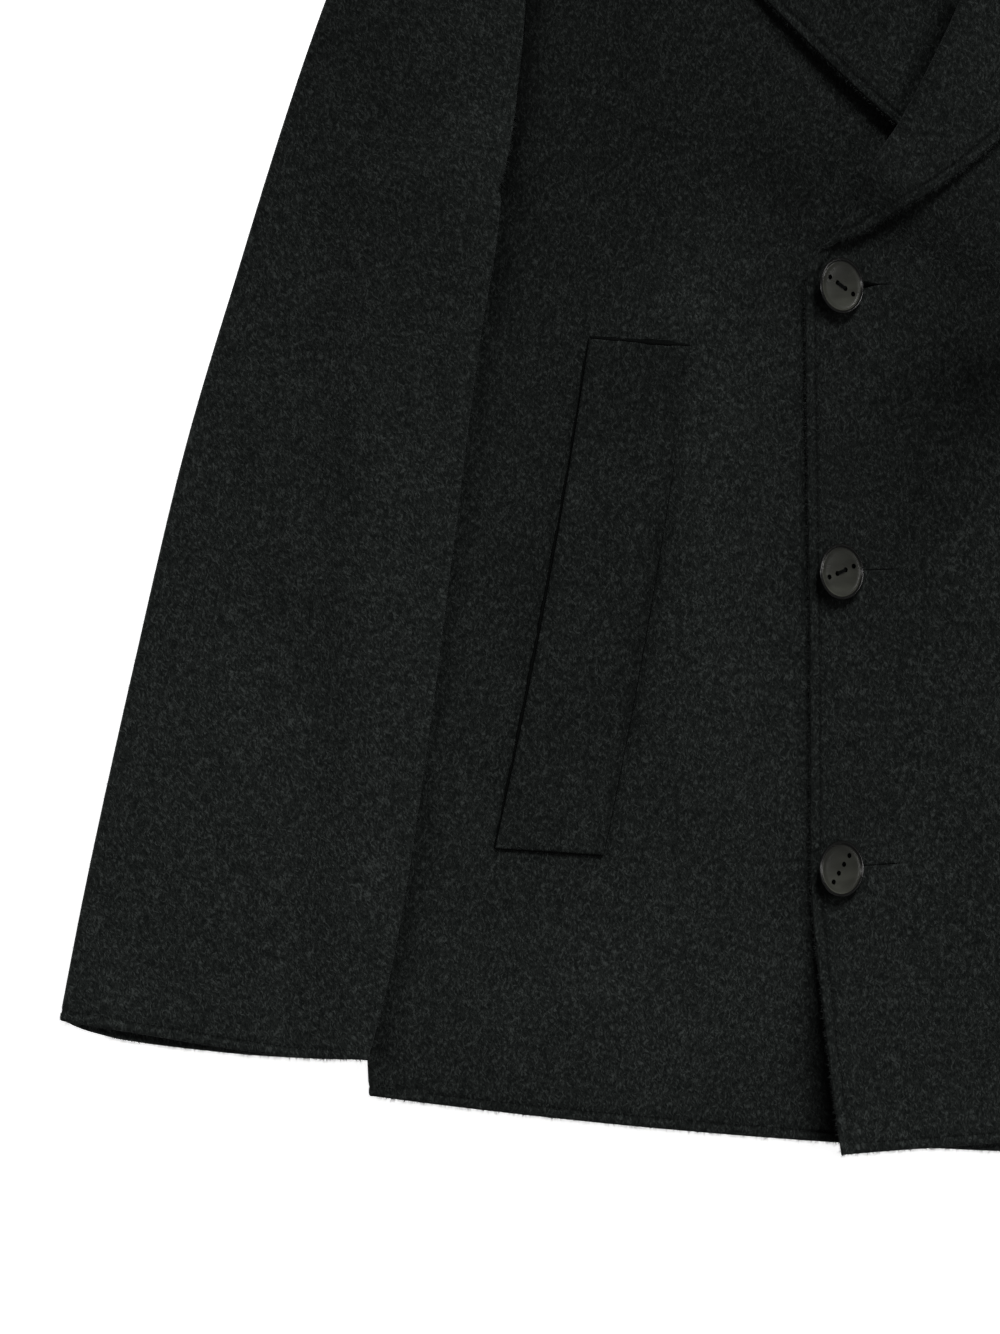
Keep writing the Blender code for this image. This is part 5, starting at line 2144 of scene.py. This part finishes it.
    def thread(self) -> bpy.types.Mesh:
        """Makes the thread that joins the middle pair of holes, with its shank under the button.

        Returns:
            Its mesh, round the origin, in metres.
        """
        t = np.linspace(-1.0, 1.0, self.rings)
        x = self.pitch / 2 * np.clip(t * 1.35, -1.0, 1.0)
        z = np.where(np.abs(t) > 0.74, 1.1 - (np.abs(t) - 0.74) * 12.0, 1.45 - 0.35 * (t / 0.74) ** 2)
        radius = np.full(self.rings, self.strand)
        paths = [(np.stack((x, shift * (1 - 0.3 * t**2), z), axis=1), radius) for shift in self.strands]
        spots, faces = cords(paths, self.sides, (0.0, 1.0, 0.02))
        return mesh_of("button_thread", spots * MM, faces)

    def pose(self, mesh: bpy.types.Mesh, side: Side, number: int, seat: float) -> Matrix:
        """Leans a button as it hangs on its thread, with its lowest point on the cloth.

        Args:
            mesh: The button's mesh.
            side: The wearer's side.
            number: The button's place in its column, from 0 at the top.
            seat: The cloth's height.

        Returns:
            The button's place in the frame.
        """
        lean, facing, row = (self.left if side is Side.LEFT else self.right)[number]
        away = Vector((np.cos(np.radians(facing)), np.sin(np.radians(facing)), 0.0))
        axis = Vector((0.0, 0.0, 1.0)).cross(away)
        turn = Matrix.Rotation(np.radians(lean), 4, axis) @ Matrix.Rotation(np.radians(facing), 4, "Z")
        turn @= Matrix.Diagonal((self.oval, 1.0, 1.0, 1.0)) @ Matrix.Rotation(np.radians(row), 4, "Z")
        lowest = min((turn @ v.co).z for v in mesh.vertices)
        x = self.column * side.sign
        height = (seat + SEAM) * MM - lowest
        return Matrix.Translation((x * MM, (self.rows[number] - ORIGIN_Y) * MM, height)) @ turn

    def sew_on(self, level: Array, horn: bpy.types.Material, thread: bpy.types.Material) -> None:
        """Sews on the six buttons.

        Args:
            level: The heights under the upper front.
            horn: The buttons' material.
            thread: The thread's material.
        """
        blank, loops, knots = self.blank(), self.thread(), self.plugs()
        for side in (Side.RIGHT, Side.LEFT):
            for number, y in enumerate(self.rows):
                seat = float(read(level, np.array((self.column * side.sign, y)))) + WALL
                place = self.pose(blank, side, number, seat)
                name = f"button_{side.value}_{number + 1}"
                mesh = blank.copy()
                mesh.transform(place)
                # How far below the button's middle each point lies, for the face's painted light.
                heights = np.array([v.co.y for v in mesh.vertices]) / MM + ORIGIN_Y
                tag(mesh, "low", (y - heights) / max(self.profile)[0])
                piece = linked(name + "_horn", mesh, horn)
                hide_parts(name)
                mesh = (knots if number == self.open_holes else loops).copy()
                mesh.transform(place)
                linked(name + "_thread", mesh, thread)


def tube(path: Array, radius: Array, sides: int, across: tuple[float, float, float]) -> Array:
    """Rings of points round a path.

    Args:
        path: The path's points.
        radius: The tube's radius at each of them.
        sides: Points in a ring.
        across: A direction that the path never takes.

    Returns:
        The points, ring by ring.
    """
    along = unit(np.gradient(path, axis=0))
    side = unit(np.cross(along, across))
    other = np.cross(along, side)
    angles = np.arange(sides) * 2 * np.pi / sides
    ring = np.cos(angles)[None, :, None] * side[:, None] + np.sin(angles)[None, :, None] * other[:, None]
    return (path[:, None] + ring * radius[:, None, None]).reshape(-1, 3)


# --- Floor, light and camera -------------------------------------------------------------------


@dataclass(frozen=True)
class Studio:
    """A pale floor, soft light and a camera straight above.

    Attributes:
        look_at: The point of the floor in the middle of the picture, in metres.
        height: The camera's height above the floor.
        frame_height: The height of what it sees.
        sensor: The length of the sensor's long side.
        floor_glow: How brightly the floor is lit from below.
        sky: The brightness of the room all round.
        lamps: Each light's name, place, width, length and power in watts, and whether it lights
            the cloth and shows in the buttons' gloss.
    """

    look_at: tuple[float, float] = (-0.2275, -0.1386)
    height: float = 3.5
    frame_height: float = 0.667
    sensor: float = 36.0
    floor_glow: float = 0.9
    sky: float = 0.12
    lamps: tuple[tuple[str, tuple[float, float, float], float, float, float, bool, bool], ...] = (
        ("key", (1.15, 3.5, 3.2), 1.6, 1.6, 240.0, True, False),
        ("right_strip", (2.3, 0.0, 1.3), 0.3, 2.0, 14.0, True, False),
        ("right_glint", (2.3, -0.3, 1.9), 0.4, 1.6, 26.0, False, True),
        ("left_glint", (-2.8, -0.1, 1.9), 0.3, 1.6, 15.0, False, True),
    )

    def floor(self) -> None:
        """Lays the floor."""
        made, graph, shader = new_material("floor")
        local = graph.add("ShaderNodeTexCoord").outputs["Object"]
        tone = graph.mask(graph.noise(local, 3.0, 3.0), 0.3, 0.7)
        inputs = {
            "Base Color": graph.blend(tone, (0.9, 0.9, 0.9, 1.0), (0.92, 0.92, 0.92, 1.0)),
            "Roughness": 0.95,
            "Specular IOR Level": 0.0,
            "Emission Color": (1.0, 1.0, 1.0, 1.0),
            "Emission Strength": self.floor_glow,
        }
        graph.feed(shader, inputs)
        form = bmesh.new()
        bmesh.ops.create_grid(form, x_segments=8, y_segments=8, size=6.0)
        mesh = formed("floor", form)
        mesh.materials.append(made)
        plane = bpy.data.objects.new("floor", mesh)
        plane.location.z = -0.0002
        bpy.context.collection.objects.link(plane)

    def lamp(
        self,
        name: str,
        place: tuple[float, float, float],
        width: float,
        length: float,
        power: float,
        lights: bool,
        shines: bool,
    ) -> None:
        """Hangs a soft light that shines at the coat.

        Args:
            name: The light's name.
            place: Where it hangs.
            width: Its width.
            length: Its length.
            power: Its power in watts.
            lights: Whether it lights the cloth.
            shines: Whether it shows in the buttons' gloss.
        """
        light = bpy.data.lights.new(name, "AREA")
        light.shape = "RECTANGLE"
        light.size, light.size_y, light.energy = width, length, power
        lamp = bpy.data.objects.new(name, light)
        lamp.location = place
        aim = Vector((-0.15, -0.1, 0.0)) - Vector(place)
        lamp.rotation_mode = "QUATERNION"
        lamp.rotation_quaternion = aim.to_track_quat("-Z", "Y")
        lamp.visible_camera = False
        lamp.visible_diffuse, lamp.visible_glossy = lights, shines
        bpy.context.collection.objects.link(lamp)

    def light(self) -> None:
        """Lights the coat: low from the collar's side, and a little all round."""
        world = bpy.data.worlds.new("studio")
        world.use_nodes = True
        sky = world.node_tree.nodes["Background"]
        sky.inputs["Color"].default_value = (1.0, 1.0, 1.0, 1.0)
        sky.inputs["Strength"].default_value = self.sky
        bpy.context.scene.world = world
        for lamp in self.lamps:
            self.lamp(*lamp)
        bpy.context.scene.view_settings.view_transform = "Standard"

    def camera(self) -> None:
        """Puts the camera straight above, with its top towards the collar."""
        eye = bpy.data.cameras.new("camera")
        eye.sensor_fit = "AUTO"
        eye.sensor_width = self.sensor
        eye.lens = self.sensor * self.height / self.frame_height
        eye.clip_end = 100.0
        camera = bpy.data.objects.new("camera", eye)
        camera.location = (*self.look_at, self.height)
        bpy.context.collection.objects.link(camera)
        bpy.context.scene.camera = camera


# --- The coat ----------------------------------------------------------------------------------


def main() -> None:
    """Builds the coat, piece by piece from the floor up, and the studio round it."""
    logging.basicConfig(level=logging.INFO, format="%(message)s")
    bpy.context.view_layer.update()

    groups = {"fleck": fleck_group(), "nap": nap_group(), "edge": edge_group()}
    wool = Wool("wool", groups).make()
    thread = Thread().make()
    fibre = Thread("fibre", (0.010, 0.0115, 0.011), (0.030, 0.033, 0.032)).make()
    horn = Horn().make()
    sewing = Sewing()

    body_swells = Swells(
        table(
            "x0 y0 x1 y1 width height",
            (40.0, 120.0, 120.0, 430.0, 30.0, 0.8),
            (-200.0, 60.0, -120.0, 330.0, 34.0, 0.8),
            (-60.0, 90.0, -30.0, 380.0, 26.0, 0.5),
            (150.0, 40.0, 240.0, 150.0, 26.0, 0.7),
            (-260.0, 300.0, -140.0, 520.0, 28.0, 0.7),
        )
    ).raise_field()
    sleeve_swells = Swells(
        table(
            "x0 y0 x1 y1 width height",
            (300.0, 230.0, 350.0, 330.0, 24.0, 1.0),
            (330.0, 120.0, 380.0, 210.0, 26.0, 0.8),
            (250.0, 470.0, 300.0, 520.0, 20.0, 0.8),
        )
    ).raise_field()

    table_top = np.zeros(PLAN_CELLS)
    collar = Collar()
    fall = collar.fall_behind()
    base = Pile(table_top).lay(fall, Side.RIGHT.turn(fall)).cover(ease=30.0, margin=4.0)
    cuts = [Back().cut(base), collar.cut(base)]

    on_back = base + LAYER + body_swells
    right = Front(Side.RIGHT, hem_sag=-4.5)
    right.drape(on_back, base)
    cuts.append(right.cut())
    beneath = [Side.RIGHT.turn(grid) for grid in (right.panel, right.lapel_grid)]
    on_right = Pile(on_back).lay(*beneath).cover(ease=16.0)
    left = Front(Side.LEFT, hem_sag=-1.5, curl=7.0, holes=BUTTON_ROWS)
    left.drape(on_right, base)
    cuts.append(left.cut())

    body = right.panel[: int(right.rows.first[11]) + 1]
    sleeve = Sleeve()
    sleeve.drape(Pile(table_top).lay(body).cover(ease=16.0), sleeve_swells)
    welt = Welt()
    for side, level in ((Side.LEFT, on_right), (Side.RIGHT, on_back)):
        cuts += sleeve.cuts(side)
        cuts.append(welt.cut(side, level))

    for cut in cuts:
        cut.build(wool, thread, fibre, sewing)
    Button().sew_on(on_right, horn, thread)

    studio = Studio()
    studio.floor()
    studio.light()
    studio.camera()


if __name__ == "__main__":
    main()
